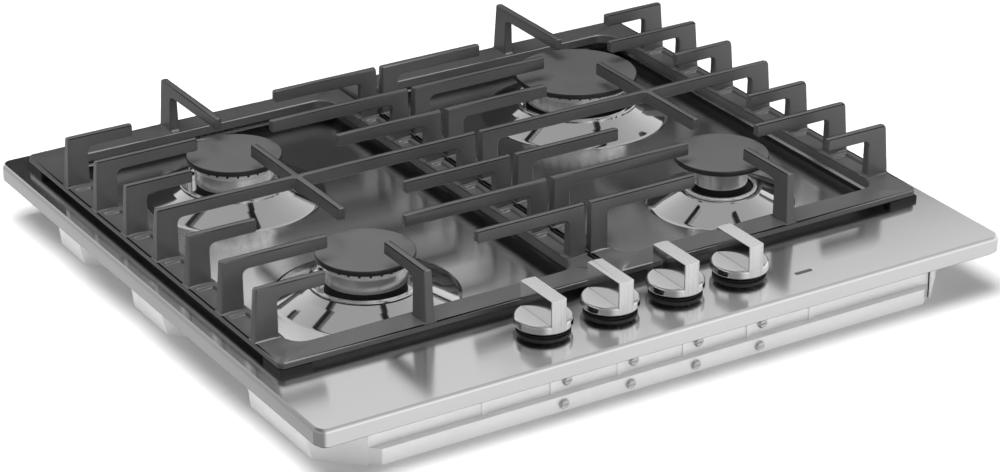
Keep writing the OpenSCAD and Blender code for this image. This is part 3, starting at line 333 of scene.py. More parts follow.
class Wiring:
    """A node tree, with short ways to add nodes and feed them."""

    def __init__(self, tree: NodeTree) -> None:
        """Keeps the tree that the nodes go into."""
        self.tree = tree

    def feed(self, node: Node, sockets: dict[str | int, Any]) -> None:
        """Links or sets a node's inputs.

        Args:
            node: the node to feed.
            sockets: another node's output, or a plain value, for each input.
        """
        for key, value in sockets.items():
            if isinstance(value, NodeSocket):
                self.tree.links.new(value, node.inputs[key])
            else:
                node.inputs[key].default_value = value

    def add(self, kind: str, sockets: dict[str | int, Any] | None = None, **settings: Any) -> Node:
        """Adds a node.

        Args:
            kind: the node's type.
            sockets: what its inputs are fed.
            **settings: its own settings.

        Returns:
            The new node.
        """
        node = self.tree.nodes.new(kind)
        for key, value in settings.items():
            setattr(node, key, value)
        self.feed(node, sockets or {})
        return node

    def math(self, operation: str, first: Any, second: Any, clamp: bool = False) -> NodeSocket:
        """Adds a sum of two outputs or values, kept between 0 and 1 when clamped, and gives its result."""
        node = self.add("ShaderNodeMath", {0: first, 1: second}, operation=operation, use_clamp=clamp)
        return node.outputs["Value"]

    def ramp(self, source: NodeSocket, span: Point, levels: Point, easing: Easing) -> NodeSocket:
        """Takes a value from one level to another as it crosses a span, and gives the result."""
        node = self.add("ShaderNodeMapRange", {"Value": source, "From Min": span[0], "From Max": span[1],
                                               "To Min": levels[0], "To Max": levels[1]},
                        interpolation_type=easing.value)
        return node.outputs["Result"]


def grey(value: float) -> Triple:
    """A neutral tone."""
    return (value, value, value)


def even(scale: float) -> Triple:
    """A grain that is as fine along every axis."""
    return (scale, scale, scale)


class Effects:
    """Node groups that more than one finish uses, built once."""

    patina_detail = 5.0
    middle = 0.5

    def __init__(self) -> None:
        """Builds the groups."""
        self.grain = self._grain()
        self.patina = self._patina()

    @staticmethod
    def _group(name: str, inputs: Sequence[tuple[str, str, Any]]) -> NodeTree:
        """Starts a node group that puts out a mask.

        Args:
            name: the group's name.
            inputs: (name, socket type, default) of each input.

        Returns:
            The new node tree.
        """
        tree = bpy.data.node_groups.new(name, "ShaderNodeTree")
        for label, kind, default in inputs:
            socket = tree.interface.new_socket(label, in_out="INPUT", socket_type=kind)
            socket.default_value = default
        tree.interface.new_socket("Mask", in_out="OUTPUT", socket_type="NodeSocketFloat")
        return tree

    def _grain(self) -> NodeTree:
        """Builds the fine grain: noise stretched by a scale along each axis."""
        tree = self._group("fine grain", [("Scale", "NodeSocketVector", even(900)), ("Detail", "NodeSocketFloat", 2.0)])
        wiring = Wiring(tree)
        entry = wiring.add("NodeGroupInput").outputs
        place = wiring.add("ShaderNodeTexCoord").outputs["Object"]
        stretch = wiring.add("ShaderNodeVectorMath", {0: place, 1: entry["Scale"]}, operation="MULTIPLY")
        noise = wiring.add("ShaderNodeTexNoise", {"Scale": 1.0, "Vector": stretch.outputs["Vector"],
                                                  "Detail": entry["Detail"]})
        wiring.add("NodeGroupOutput", {"Mask": noise.outputs["Fac"]})
        return tree

    def _patina(self) -> NodeTree:
        """Builds the patina: slow uneven patches, pushed apart by a contrast."""
        tree = self._group("patina", [("Scale", "NodeSocketFloat", 14.0), ("Contrast", "NodeSocketFloat", 1.6)])
        wiring = Wiring(tree)
        entry = wiring.add("NodeGroupInput").outputs
        place = wiring.add("ShaderNodeTexCoord").outputs["Object"]
        noise = wiring.add("ShaderNodeTexNoise", {"Detail": self.patina_detail, "Vector": place,
                                                  "Scale": entry["Scale"]})
        centred = wiring.math("SUBTRACT", noise.outputs["Fac"], self.middle)
        spread = wiring.math("MULTIPLY", centred, entry["Contrast"])
        wiring.add("NodeGroupOutput", {"Mask": wiring.math("ADD", spread, self.middle, clamp=True)})
        return tree


@dataclass(frozen=True)
class Finish:
    """One surface finish: two tones, two roughnesses, and the grain that moves between them."""

    name: str
    dark: Triple
    light: Triple
    rough_low: float
    rough_high: float
    metallic: float = 0.0
    grain: Triple = (900.0, 900.0, 900.0)
    grain_detail: float = 2.0
    patina_scale: float = 14.0
    patina_share: float = 0.5
    bump: float = 0.1
    bump_depth: float = 0.02 * MM
    specular: float = 0.5
    coat: float = 0.0
    coat_rough: float = 0.1
    edge_round: float = 0.0
    edge_samples: int = 6
    brushed: float = 0.0
    brush_axis: str = "X"
    mask_span: Point = (0.25, 0.75)

    def build(self, effects: Effects) -> Material:
        """Makes the material.

        Args:
            effects: the shared node groups.

        Returns:
            The new material.
        """
        material = bpy.data.materials.new(self.name)
        material.use_nodes = True
        material.diffuse_color = (*self.light, 1)
        wiring = Wiring(material.node_tree)
        grain = wiring.add("ShaderNodeGroup", {"Scale": self.grain, "Detail": self.grain_detail},
                           node_tree=effects.grain)
        patina = wiring.add("ShaderNodeGroup", {"Scale": self.patina_scale}, node_tree=effects.patina)
        blend = wiring.add("ShaderNodeMix", {"Factor": self.patina_share, "A": grain.outputs["Mask"],
                                             "B": patina.outputs["Mask"]}).outputs["Result"]
        tones = wiring.add("ShaderNodeMix", {"Factor": blend, "A": (*self.dark, 1), "B": (*self.light, 1)},
                           data_type="RGBA")
        relief = wiring.add("ShaderNodeBump", {"Strength": self.bump, "Distance": self.bump_depth,
                                               "Height": grain.outputs["Mask"]})
        if self.edge_round:
            edge = wiring.add("ShaderNodeBevel", {"Radius": self.edge_round}, samples=self.edge_samples)
            wiring.feed(relief, {"Normal": edge.outputs["Normal"]})
        shader = material.node_tree.nodes["Principled BSDF"]
        wiring.feed(shader, {
            "Base Color": tones.outputs["Result"],
            "Metallic": self.metallic,
            "Roughness": wiring.ramp(blend, self.mask_span, (self.rough_low, self.rough_high), Easing.LINEAR),
            "Normal": relief.outputs["Normal"],
            "Specular IOR Level": self.specular,
            "Coat Weight": self.coat,
            "Coat Roughness": self.coat_rough,
            "Anisotropic": self.brushed,
        })
        if self.brushed:
            tangent = wiring.add("ShaderNodeTangent", direction_type="RADIAL", axis=self.brush_axis)
            wiring.feed(shader, {"Tangent": tangent.outputs["Tangent"]})
        return material


class Finishes:
    """Every finish of the cooktop, by the piece that wears it."""

    def __init__(self) -> None:
        """Builds the materials."""
        effects = Effects()
        self.plate = Finish(
            "brushed stainless plate", grey(0.80), grey(0.90), 0.15, 0.19, metallic=1.0, grain=(14.0, 2600.0, 900.0),
            patina_scale=7.0, patina_share=0.6, bump=0.01, bump_depth=0.003 * MM, brushed=0.55).build(effects)
        self.dome = Finish(
            "polished pressed dome", grey(0.72), grey(0.78), 0.05, 0.09, metallic=1.0, grain=(500.0, 500.0, 60.0),
            patina_scale=30.0, bump=0.02, bump_depth=0.003 * MM).build(effects)
        self.box = Finish(
            "bright zinc-coated sheet", grey(0.92), grey(0.97), 0.30, 0.36, metallic=0.35, grain=even(60),
            patina_scale=9.0, patina_share=0.8, bump=0.0).build(effects)
        self.iron = Finish(
            "enamelled cast iron", grey(0.042), grey(0.058), 0.28, 0.36, grain=even(1500), grain_detail=4.0,
            patina_scale=40.0, bump=0.25, specular=0.85).build(effects)
        self.cap = Finish(
            "matte cap enamel", grey(0.070), grey(0.095), 0.36, 0.44, grain=even(2200), grain_detail=4.0,
            patina_scale=30.0, bump=0.2, bump_depth=0.012 * MM, specular=0.7).build(effects)
        # The cap's side and underside: the top's enamel made darker, painted shade where the overhead light falls less.
        self.cap_shaded_edge = Finish(
            "cap enamel with painted shade", grey(0.014), grey(0.020), 0.30, 0.36, grain=even(2200), grain_detail=4.0,
            patina_scale=30.0, bump=0.2, bump_depth=0.012 * MM).build(effects)
        self.ring = Finish(
            "turned aluminium", grey(0.84), grey(0.92), 0.22, 0.28, metallic=0.8, grain=(30.0, 30.0, 900.0),
            patina_scale=60.0, patina_share=0.3, bump=0.02, bump_depth=0.004 * MM).build(effects)
        self.band = Finish(
            "machined port band", grey(0.94), grey(0.99), 0.34, 0.42, metallic=0.5, grain=(30.0, 30.0, 900.0),
            patina_scale=60.0, patina_share=0.3, bump=0.02, bump_depth=0.004 * MM).build(effects)
        # Near-black: painted shade for the cup and for the ring's port insides and channel, which lie in shadow under
        # the cap.
        self.cup = Finish(
            "cast aluminium cup darkened as painted shade", grey(0.012), grey(0.022), 0.5, 0.62, metallic=0.3, grain=even(700), bump=0.3,
            bump_depth=0.05 * MM).build(effects)
        self.knob = Finish(
            "polished knob edge", grey(0.84), grey(0.92), 0.10, 0.14, metallic=1.0, grain=(3200.0, 24.0, 24.0),
            grain_detail=3.0, patina_scale=90.0, patina_share=0.15, bump_depth=0.006 * MM).build(effects)
        self.disc = Finish(
            "matte knob disc", grey(0.70), grey(0.78), 0.50, 0.56, metallic=0.7, bump=0.03,
            bump_depth=0.004 * MM).build(effects)
        self.bar = Finish(
            "line-brushed knob bar", grey(0.66), grey(1.0), 0.20, 0.30, metallic=0.85, grain=(750.0, 10.0, 10.0),
            grain_detail=3.0, patina_scale=90.0, patina_share=0.1, bump=0.12).build(effects)
        self.rubber = Finish(
            "black seal rubber", grey(0.008), grey(0.016), 0.25, 0.4, grain=even(1800),
            patina_scale=60.0).build(effects)
        self.pad = Finish(
            "foot pad rubber", grey(0.010), grey(0.020), 0.5, 0.7, grain=even(1500), bump=0.3).build(effects)
        self.plastic = Finish(
            "black moulded plastic", grey(0.014), grey(0.024), 0.35, 0.5, grain=even(1800), bump=0.2,
            edge_round=0.4 * MM).build(effects)
        self.lens = Finish(
            "dark lamp window", grey(0.006), grey(0.012), 0.08, 0.14, coat=0.6, bump=0.02).build(effects)
        self.zinc = Finish(
            "zinc-plated steel", grey(0.60), grey(0.72), 0.2, 0.34, metallic=1.0, patina_scale=80.0,
            edge_round=0.4 * MM).build(effects)
        self.brass = Finish(
            "turned brass", (0.55, 0.38, 0.14), (0.74, 0.56, 0.26), 0.2, 0.34, metallic=1.0, grain=even(1200),
            patina_scale=90.0, edge_round=0.3 * MM).build(effects)
        self.ceramic = Finish(
            "glazed ceramic", (0.74, 0.73, 0.68), (0.86, 0.85, 0.80), 0.18, 0.3, coat=0.4, grain=even(2500),
            bump=0.05).build(effects)
        self.probe = Finish(
            "bare probe steel", (0.46, 0.44, 0.41), (0.62, 0.60, 0.56), 0.22, 0.36, metallic=1.0,
            grain=(400.0, 400.0, 2500.0)).build(effects)
        self.sleeve = Finish(
            "silicone lead sleeve", (0.26, 0.03, 0.02), (0.40, 0.06, 0.04), 0.45, 0.6, grain=even(1800),
            bump=0.2).build(effects)
        self.works = {
            "burner_box": self.box, "worktop_seal": self.rubber, "indicator_window": self.lens,
            "knob_bezels": self.plastic, "burner_cup": self.cup, "igniter": self.ceramic,
            "thermocouple": self.probe, "gas_injectors": self.brass, "gas_manifold": self.zinc,
            "gas_inlet_pipe": self.zinc, "tap_body": self.brass, "gas_pipe": self.ring,
            "tap_covers": self.zinc, "ignition_generator": self.plastic, "ignition_switches": self.plastic,
            "ignition_leads": self.sleeve, "thermocouple_leads": self.probe, "terminal_block": self.plastic,
            "box_screws": self.zinc, "burner_screws": self.zinc, "support_feet": self.pad,
            "tap_cone": self.brass, "tap_spindle": self.probe,
        }

    def for_node(self, name: str) -> Material | None:
        """The finish of a node that keeps its own solid, or None where a modelled piece replaces the node."""
        return self.works.get(max((start for start in self.works if name.startswith(start)), key=len, default=""))


def axis_of(node: str) -> Point:
    """A node's upright axis in X and Y, in metres."""
    low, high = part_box(node)
    return ((low[0] + high[0]) / 2, (low[1] + high[1]) / 2)


def report(piece: Object) -> None:
    """Logs a finished piece with its count of faces."""
    LOG.info("%s: %d faces", piece.name, len(piece.data.polygons))


def dress(obj: Object, material: Material) -> None:
    """Gives every part of an object one material.

    Args:
        obj: the object.
        material: its finish.
    """
    if not obj.data.materials:
        obj.data.materials.append(material)
    for index in range(len(obj.data.materials)):
        obj.data.materials[index] = material


@dataclass
class Burner:
    """One burner: its place from the frame, and the pressed dome, flame ring and cap round it."""

    spot: Spot
    deck: float
    dome_d: float
    lip_d: float
    flange: bool = False
    lip_h: float = 7.4
    channel: float = 9.4
    bead: float = 3.2
    recess: float = 6.5
    sheet: float = 1.0
    lip_w: float = 3.6
    neck: float = 20.0
    hem: tuple[Point, ...] = ((3.5, 0.02), (1.8, 0.12), (0.4, 0.5), (-0.9, 1.05))
    bead_r: float = 1.2
    lip_r: float = 0.7
    trough_r: float = 0.8
    collar_h: float = 3.0
    collar_share: float = 0.55
    flat_tilt: float = 0.8
    dome_steps: int = 160
    cap_steps: int = 144
    centre: Point = field(init=False)
    cap_r: float = field(init=False)
    ring_r: float = field(init=False)

    def __post_init__(self) -> None:
        """Reads the burner's axis and radii from its solids."""
        low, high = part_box(f"burner_cap_{self.spot.value}")
        self.centre = axis_of(f"burner_cap_{self.spot.value}")
        self.cap_r = (high[0] - low[0]) / 2
        low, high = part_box(f"flame_ring_{self.spot.value}")
        self.ring_r = (high[0] - low[0]) / 2

    def points(self, *pairs: Point) -> list[Point]:
        """Profile points in metres, from radii and heights over the plate's flat top in millimetres."""
        return [(radius * MM, self.deck + height * MM) for radius, height in pairs]

    def arc(self, radius: float, height: float, bend: float, start: float, end: float, steps: int = 5) -> list[Point]:
        """Points of a small round: its centre and own radius in millimetres, and its angles in degrees."""
        angles = [math.radians(start + (end - start) * i / steps) for i in range(steps + 1)]
        return self.points(*[(radius + bend * math.cos(a), height + bend * math.sin(a)) for a in angles])

    def build_dome(self, finish: Material) -> Object:
        """Turns the polished dome that rises from the recess to a rolled lip.

        Args:
            finish: the dome's finish.

        Returns:
            The dome, riding on the hob.
        """
        foot, lip = self.dome_d / 2, self.lip_d / 2
        inner = lip - self.lip_w
        floor, top, trough = -self.recess, self.lip_h, self.lip_h - self.channel
        hole = self.neck + 0.2 if self.flange else min(self.ring_r / MM, inner) - 0.5
        profile = self.points(*[(foot + out, floor + up) for out, up in self.hem])
        if self.bead:  # a beaded lip stands upright on the slope
            profile += self.points((lip + 1.0, top - self.bead), (lip + 0.9, top - self.bead + 0.3))
            profile += self.arc(lip - 0.4, top - self.bead_r, self.bead_r, 0, 90, 5)
        else:  # a plain lip rounds off into the slope
            profile += self.points((lip + 1.3, top - 0.75), (lip + 0.6, top - 0.42))
            profile += self.arc(lip - 0.2, top - self.lip_r, self.lip_r, 60, 90, 3)
        profile += self.arc(inner + self.lip_r, top - self.lip_r, self.lip_r, 90, 180, 4)
        profile += self.arc(inner - self.trough_r, trough + self.trough_r, self.trough_r, 0, -90, 3)
        profile += self.points((hole, trough), (hole, trough - self.sheet),
                               (inner + self.sheet, trough - self.sheet), (inner + self.sheet, top - self.sheet),
                               (lip - self.sheet, top - self.sheet), (foot - 2 * self.sheet, floor - self.sheet),
                               (foot + self.hem[0][0], floor - self.sheet * 0.9))
        profile.append(profile[0])
        dome = Bench.lathe(f"dome_{self.spot.value}", self.centre, profile, steps=self.dome_steps)
        Bench.smooth(dome, 40)
        dress(dome, finish)
        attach(dome, "hob")
        report(dome)
        return dome

    def build_cap(self, finish: Material, shaded_edge_finish: Material) -> Object:
        """Turns the cap: a flat enamelled disc with soft edges and an undercut rim.

        Args:
            finish: the finish of the cap's flat top.
            shaded_edge_finish: the finish of its edge and underside, the same enamel made darker as painted shade.

        Returns:
            The cap, riding on its own body.
        """
        name = f"burner_cap_{self.spot.value}"
        low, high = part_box(name)
        radius = self.cap_r / MM
        top = (high[2] - self.deck) / MM
        foot = (low[2] - self.deck) / MM
        seat = foot + self.collar_h
        collar = radius * self.collar_share
        profile = self.points((0, top - 0.15), (collar, top - 0.1), (radius - 3, top - 0.05))
        profile += self.arc(radius - 0.9, top - 0.9, 0.8, 90, 20, 4)
        profile += self.points((radius, top - 1.2), (radius, seat + 0.9), (radius - 0.3, seat + 0.3),
                               (radius - 1.0, seat), (radius - 3.2, seat + 0.25), (collar + 0.4, seat + 0.2),
                               (collar, seat - 0.4), (collar, foot + 0.5), (collar - 0.5, foot),
                               (collar - 2.5, foot), (collar - 2.5, seat + 1.5), (0, seat + 1.5))
        cap = Bench.lathe(f"cap_{self.spot.value}", self.centre, profile, steps=self.cap_steps)
        Bench.smooth(cap, 40)
        dress(cap, finish)
        cap.data.materials.append(shaded_edge_finish)
        # Faces that tilt away from upright get the darker enamel: painted shade on the cap's side and underside.
        for face in cap.data.polygons:
            face.material_index = (CapFace.EDGE if face.normal.z < self.flat_tilt else CapFace.TOP).value
        cap.visible_glossy = False
        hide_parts(name)
        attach(cap, name)
        report(cap)
        return cap


@dataclass
class TopPlate:
    """The pressed stainless plate: rounded rim, flat top and spill recess, as one folded sheet."""

    deck: float
    width: float = 582.0
    depth: float = 520.0
    corner: float = 9.0
    rim: float = 13.0
    lip: float = 11.0
    sheet: float = 1.0
    recess_side: float = 26.0
    recess_back: float = 30.0
    recess_front: float = 93.0
    recess_corner: float = 14.0
    corner_steps: int = 10
    edge_foot: float = 0.6
    fold_gap: float = 0.1
    fold_rise: float = 0.02
    tolerance: float = 0.01
    dome_lap: float = 1.0
    knob_hole: float = 26.0
    window_lap: float = 1.5
    over: float = 2.0
    under: float = 3.0
    dome_cut: float = 12.0
    edge: tuple[Point, ...] = ((0.25, 0.95), (0.35, 0.65), (0.45, 0.55), (0.5, 0.42), (0.45, 0.43))
    wall: tuple[Point, ...] = ((0.5, -0.06), (0.5, -0.22), (0.45, -0.42), (0.5, -0.7), (2.2, -3.1), (0.45, -0.75),
                               (0.5, -0.6), (0.6, -0.42), (0.8, -0.2), (1.0, -0.03))

    def outline(self, name: str, low: Point, high: Point, corner: float, height: float) -> Object:
        """Adds a flat sheet with rounded corners.

        Args:
            name: the sheet's name.
            low: its left front corner, in millimetres.
            high: its right back corner, in millimetres.
            corner: radius of its corners, in millimetres.
            height: its height over the flat top, in millimetres.

        Returns:
            The sheet, settled at the origin.
        """
        Bench.clear()
        middle = ((low[0] + high[0]) / 2 * MM, (low[1] + high[1]) / 2 * MM, self.deck + height * MM)
        bpy.ops.mesh.primitive_plane_add(size=1, location=middle)
        bpy.context.object.scale = ((high[0] - low[0]) * MM, (high[1] - low[1]) * MM, 1)
        obj = Bench.added(name)
        Bench.open(obj)
        bpy.ops.mesh.bevel(offset=corner * MM, segments=self.corner_steps, affect="VERTICES", profile=0.5)
        Bench.done()
        return obj

    @staticmethod
    def broadest(obj: Object) -> int:
        """Index of the broadest face, and of the higher of two that are as broad."""
        return max(obj.data.polygons, key=lambda face: (round(face.area, 5), face.center.z)).index

    def step_in(self, obj: Object, steps: Sequence[Point]) -> None:
        """Insets an object's broadest face step by step, so that its border follows a rounded profile.

        Args:
            obj: the object to shape.
            steps: (inset, rise) of each step, in millimetres.
        """
        big = self.broadest(obj)
        Bench.pick(obj, Element.FACE, lambda face: face.index == big)
        for inset, rise in steps:
            bpy.ops.mesh.inset(thickness=inset * MM, depth=rise * MM)
        Bench.done()

    def cutters(self, burners: Sequence[Burner]) -> list[Object]:
        """Builds what the sheet is cut with: a drum for each burner and knob, and a block for the lamp window.

        Args:
            burners: the burners whose domes fill the round cuts.

        Returns:
            The cutting objects.
        """
        top, foot = self.deck + self.over * MM, self.deck - self.under * MM
        cuts = [Bench.drum(f"cut_{b.spot.value}", b.centre, (b.dome_d / 2 - self.dome_lap) * MM,
                           self.deck - self.dome_cut * MM, top) for b in burners]
        cuts += [Bench.drum(f"cut_{name}", axis_of(name), self.knob_hole / 2 * MM, foot, top, 48) for name in KNOBS]
        low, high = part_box("indicator_window")
        lap = self.window_lap * MM
        cuts.append(Bench.block("cut_window", (low[0] + lap, low[1] + lap, foot), (high[0] - lap, high[1] - lap, top)))
        return cuts

    def build(self, burners: Sequence[Burner], finish: Material) -> Object:
        """Folds the sheet and cuts it for the burners, knobs and lamp window.

        Args:
            burners: the burners whose domes fill the round cuts.
            finish: the plate's finish.

        Returns:
            The plate, standing for its solid.
        """
        half_w, half_d = self.width / 2, self.depth / 2
        rise = sum(z for _, z in self.edge)
        outer = self.outline("plate_sheet", (-half_w, -half_d), (half_w, half_d), self.corner,
                             self.edge_foot - self.rim)
        Bench.pick(outer, Element.FACE, lambda face: True)
        bpy.ops.mesh.extrude_region_move(
            TRANSFORM_OT_translate={"value": (0, 0, (self.rim - self.edge_foot - rise) * MM)})
        Bench.done()
        self.step_in(outer, self.edge)
        pan = self.outline("recess", (-half_w + self.recess_side, -half_d + self.recess_front),
                           (half_w - self.recess_side, half_d - self.recess_back), self.recess_corner, 0)
        self.step_in(pan, self.wall)
        top = max(outer.data.polygons, key=lambda face: face.center.z).index
        foot = min(outer.data.polygons, key=lambda face: face.center.z).index
        Bench.pick(outer, Element.FACE, lambda face: face.index in (top, foot))
        bpy.ops.mesh.delete(type="ONLY_FACE")
        Bench.done()
        sheet = Bench.join("top_plate_sheet", [outer, pan])
        uses: dict[tuple[int, int], int] = {}
        for face in sheet.data.polygons:
            for key in face.edge_keys:
                uses[key] = uses.get(key, 0) + 1
        Bench.pick(sheet, Element.EDGE, lambda edge: uses.get(tuple(sorted(edge.vertices)), 0) == 1
                   and all(abs(sheet.data.vertices[i].co.z - self.deck) < self.tolerance * MM
                           for i in edge.vertices))
        bpy.ops.mesh.fill(use_beauty=True)
        bpy.ops.mesh.select_all(action="SELECT")
        bpy.ops.mesh.normals_make_consistent(inside=False)
        Bench.done()
        Bench.apply(sheet, "SOLIDIFY", thickness=self.sheet * MM, offset=-1, use_even_offset=True)
        Bench.cut(sheet, self.cutters(burners))
        fold = self.outline("rim_fold", (self.fold_gap - half_w, self.fold_gap - half_d),
                            (half_w - self.fold_gap, half_d - self.fold_gap), self.corner,
                            self.fold_rise - self.rim)
        self.step_in(fold, ((self.lip - self.fold_gap, 0.0),))
        big = self.broadest(fold)
        Bench.pick(fold, Element.FACE, lambda face: face.index == big)
        bpy.ops.mesh.delete(type="FACE")
        Bench.done()
        Bench.apply(fold, "SOLIDIFY", thickness=self.sheet * MM, offset=1, use_even_offset=True)
        plate = Bench.join("top_plate_sheet", [sheet, fold])
        Bench.smooth(plate, 30)
        dress(plate, finish)
        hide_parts("top_plate")
        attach(plate, "hob")
        report(plate)
        return plate


@dataclass
class FlameRing:
    """A turned aluminium flame ring with its ports cut through under the cap."""

    burner: Burner
    ports: int = 24
    port_w: float = 1.9
    port_h: float = 3.6
    collar_h: float = 4.0
    flange_r: float = 0.0
    flange_rim: float = 3.2
    flange_h: float = 3.0
    flange_neck: float = 21.0
    collar_in: float = 3.8
    steps: int = 144
    skirt: float = 6.2
    wall: float = 7.3
    groove: float = 0.35
    band_h: float = 5.6
    seat: float = field(init=False)
    top: float = field(init=False)

    def __post_init__(self) -> None:
        """Reads the ring's foot and top from its solid."""
        low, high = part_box(f"flame_ring_{self.burner.spot.value}")
        self.seat = (low[2] - self.burner.deck) / MM + self.collar_h
        self.top = (high[2] - self.burner.deck) / MM

    def profile(self) -> list[Point]:
        """The ring's outline, turned about the burner's axis."""
        b = self.burner
        radius = self.neck()
        bore, collar = radius - self.wall, radius - self.collar_in
        band = self.top - self.band_h
        foot = self.seat - self.collar_h
        points = b.points((bore, foot), (collar, foot), (collar, self.seat))
        if self.flange_r:
            rim, inner, skirt = self.flange_r, self.flange_r - self.flange_rim, self.seat + self.skirt
            crown = self.seat + self.flange_h
            points += b.points((rim - 1.0, self.seat))
            points += b.arc(rim - 0.9, self.seat + 0.9, 0.9, -90, 0, 4)
            points += b.arc(rim - 1.0, crown - 1.0, 1.0, 0, 90, 4)
            points += b.arc(inner + 0.9, crown - 0.9, 0.9, 90, 170, 4)
            points += b.points((inner - 0.5, self.seat + 1.0), (radius - 1.4, self.seat + 1.0),
                               (radius - 1.6, self.seat + 1.4), (radius - 1.6, skirt - 0.3),
                               (radius - 0.4, skirt), (radius, skirt + 0.4))
        else:
            points += b.points((radius - 2.2, self.seat), (radius - 1.5, self.seat + 0.3))
            points += b.arc(radius - 1.0, self.seat + 1.6, 1.0, -60, 0, 3)
        points += b.points((radius, band - self.groove), (radius - self.groove, band - 0.1),
                           (radius - self.groove, band + 0.1), (radius - 0.05, band + self.groove),
                           (radius - 0.05, self.top - 0.4), (radius - 0.45, self.top), (bore, self.top))
        return points + [points[0]]

    def neck(self) -> float:
        """Radius of the ring's own wall, in millimetres."""
        return self.flange_neck if self.flange_r else self.burner.ring_r / MM

    def zone(self, face: MeshPolygon) -> RingFace:
        """Tells a face's finish apart.

        Args:
            face: a face of the finished ring.

        Returns:
            The part of the ring that it belongs to.
        """
        b = self.burner
        out = math.hypot(face.center.x - b.centre[0], face.center.y - b.centre[1]) / MM
        height = (face.center.z - b.deck) / MM
        # Faces inside the ring by the ports, and down in the flange's dish, get the painted shade.
        if out < self.neck() - 0.5 and height > self.top - self.port_h - 0.2:
            return RingFace.SOOT
        if self.flange_r and out < self.flange_r - self.flange_rim and height < self.seat + self.skirt - 0.1:
            return RingFace.SOOT
        return RingFace.BAND if height > self.top - self.band_h + 0.1 else RingFace.WALL

    def port_cutters(self) -> Object:
        """Builds one slot's block and turns copies of it about the axis.

        Returns:
            All the slots' blocks as one object.
        """
        b = self.burner
        half_w = self.port_w / 2 * MM
        middle, reach = (self.neck() - self.wall / 2) * MM, (self.wall / 2 + 0.6) * MM
        first = Bench.block("port", (b.centre[0] + middle - reach, b.centre[1] - half_w,
                                     b.deck + (self.top - self.port_h) * MM),
                            (b.centre[0] + middle + reach, b.centre[1] + half_w, b.deck + (self.top + 0.6) * MM))
        ports = []
        for index in range(self.ports):
            Bench.hold(first)
            bpy.ops.object.duplicate()
            port = bpy.context.object
            Bench.open(port)
            bpy.ops.transform.rotate(value=math.tau * (index + 0.5) / self.ports, orient_axis="Z",
                                     center_override=(*b.centre, 0))
            Bench.done()
            ports.append(port)
        bpy.data.objects.remove(first, do_unlink=True)
        return Bench.join("ports", ports)

    def build(self, finish: Material, band: Material, shade_finish: Material) -> Object:
        """Turns the ring and cuts its ports.

        Args:
            finish: the turned wall's finish.
            band: the finish of the machined band between the ports.
            shade_finish: the near-black finish inside the ports and down in the channel, painted shade.

        Returns:
            The ring, standing for its solid.
        """
        b = self.burner
        name = f"flame_ring_{b.spot.value}"
        ring = Bench.lathe(f"ring_{b.spot.value}", b.centre, self.profile(), steps=self.steps)
        Bench.cut(ring, [self.port_cutters()])
        Bench.smooth(ring, 35)
        dress(ring, finish)
        for extra in (band, shade_finish):
            ring.data.materials.append(extra)
        for face in ring.data.polygons:
            face.material_index = self.zone(face).value
        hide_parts(name)
        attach(ring, name)
        report(ring)
        return ring


@dataclass
class Casting:
    """A solid carried over from the frame, with its sharp edges rounded as a casting's or a machined part's are."""

    node: str
    slot: str
    width: float
    segments: int
    degrees: float = 22.0
    merge_gap: float = 0.004

    def build(self, frame: dict[str, Any], finish: Material) -> Object:
        """Copies the solid, merges its faces and rounds its edges.

        Args:
            finish: the piece's finish.

        Returns:
            The rounded copy, standing for its solid.
        """
        Bench.clear()
        copy = bpy.data.objects.new(f"{self.node}_form", frame["nodes"][self.node].data.copy())
        bpy.context.scene.collection.objects.link(copy)
        Bench.open(copy)
        bpy.ops.mesh.remove_doubles(threshold=self.merge_gap * MM)
        Bench.done()
        Bench.apply(copy, "BEVEL", width=self.width * MM, segments=self.segments, limit_method="ANGLE",
                    angle_limit=math.radians(self.degrees), use_clamp_overlap=False)
        Bench.smooth(copy, 32)
        Bench.apply(copy, "WEIGHTED_NORMAL", keep_sharp=True)
        dress(copy, finish)
        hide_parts(self.node)
        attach(copy, self.node)
        report(copy)
        return copy


@dataclass
class Knob(Casting):
    """A knob, whose grip bar and flat disc have finishes of their own."""

    bar_w: float = 13.1
    bar_tilt: float = 0.5
    flat_tilt: float = 0.95

    def zone(self, mesh: Mesh, face: MeshPolygon, middle: float) -> KnobFace:
        """Tells a face's finish apart.

        Args:
            mesh: the knob's mesh.
            face: one of its faces.
            middle: the knob's axis along X.

        Returns:
            The part of the knob that it belongs to.
        """
        on_bar = all(abs(mesh.vertices[i].co.x - middle) < self.bar_w / 2 * MM for i in face.vertices)
        if on_bar and abs(face.normal.x) < self.bar_tilt:
            return KnobFace.BAR
        return KnobFace.DISC if not on_bar and face.normal.z > self.flat_tilt else KnobFace.EDGE

    def dress_faces(self, knob: Object, bar: Material, disc: Material) -> None:
        """Gives the bar and the disc their own finishes.

        Args:
            knob: the built knob.
            bar: the grip bar's finish.
            disc: the flat disc's finish.
        """
        for finish in (bar, disc):
            knob.data.materials.append(finish)
        middle = axis_of(self.node)[0]
        for face in knob.data.polygons:
            face.material_index = self.zone(knob.data, face, middle).value


@dataclass(frozen=True)
class Lamp:
    """A soft rectangular lamp that faces the cooktop: its place and size in metres and its power in watts."""

    name: str
    place: Triple
    size: Point
    power: float
    for_castings: bool = False


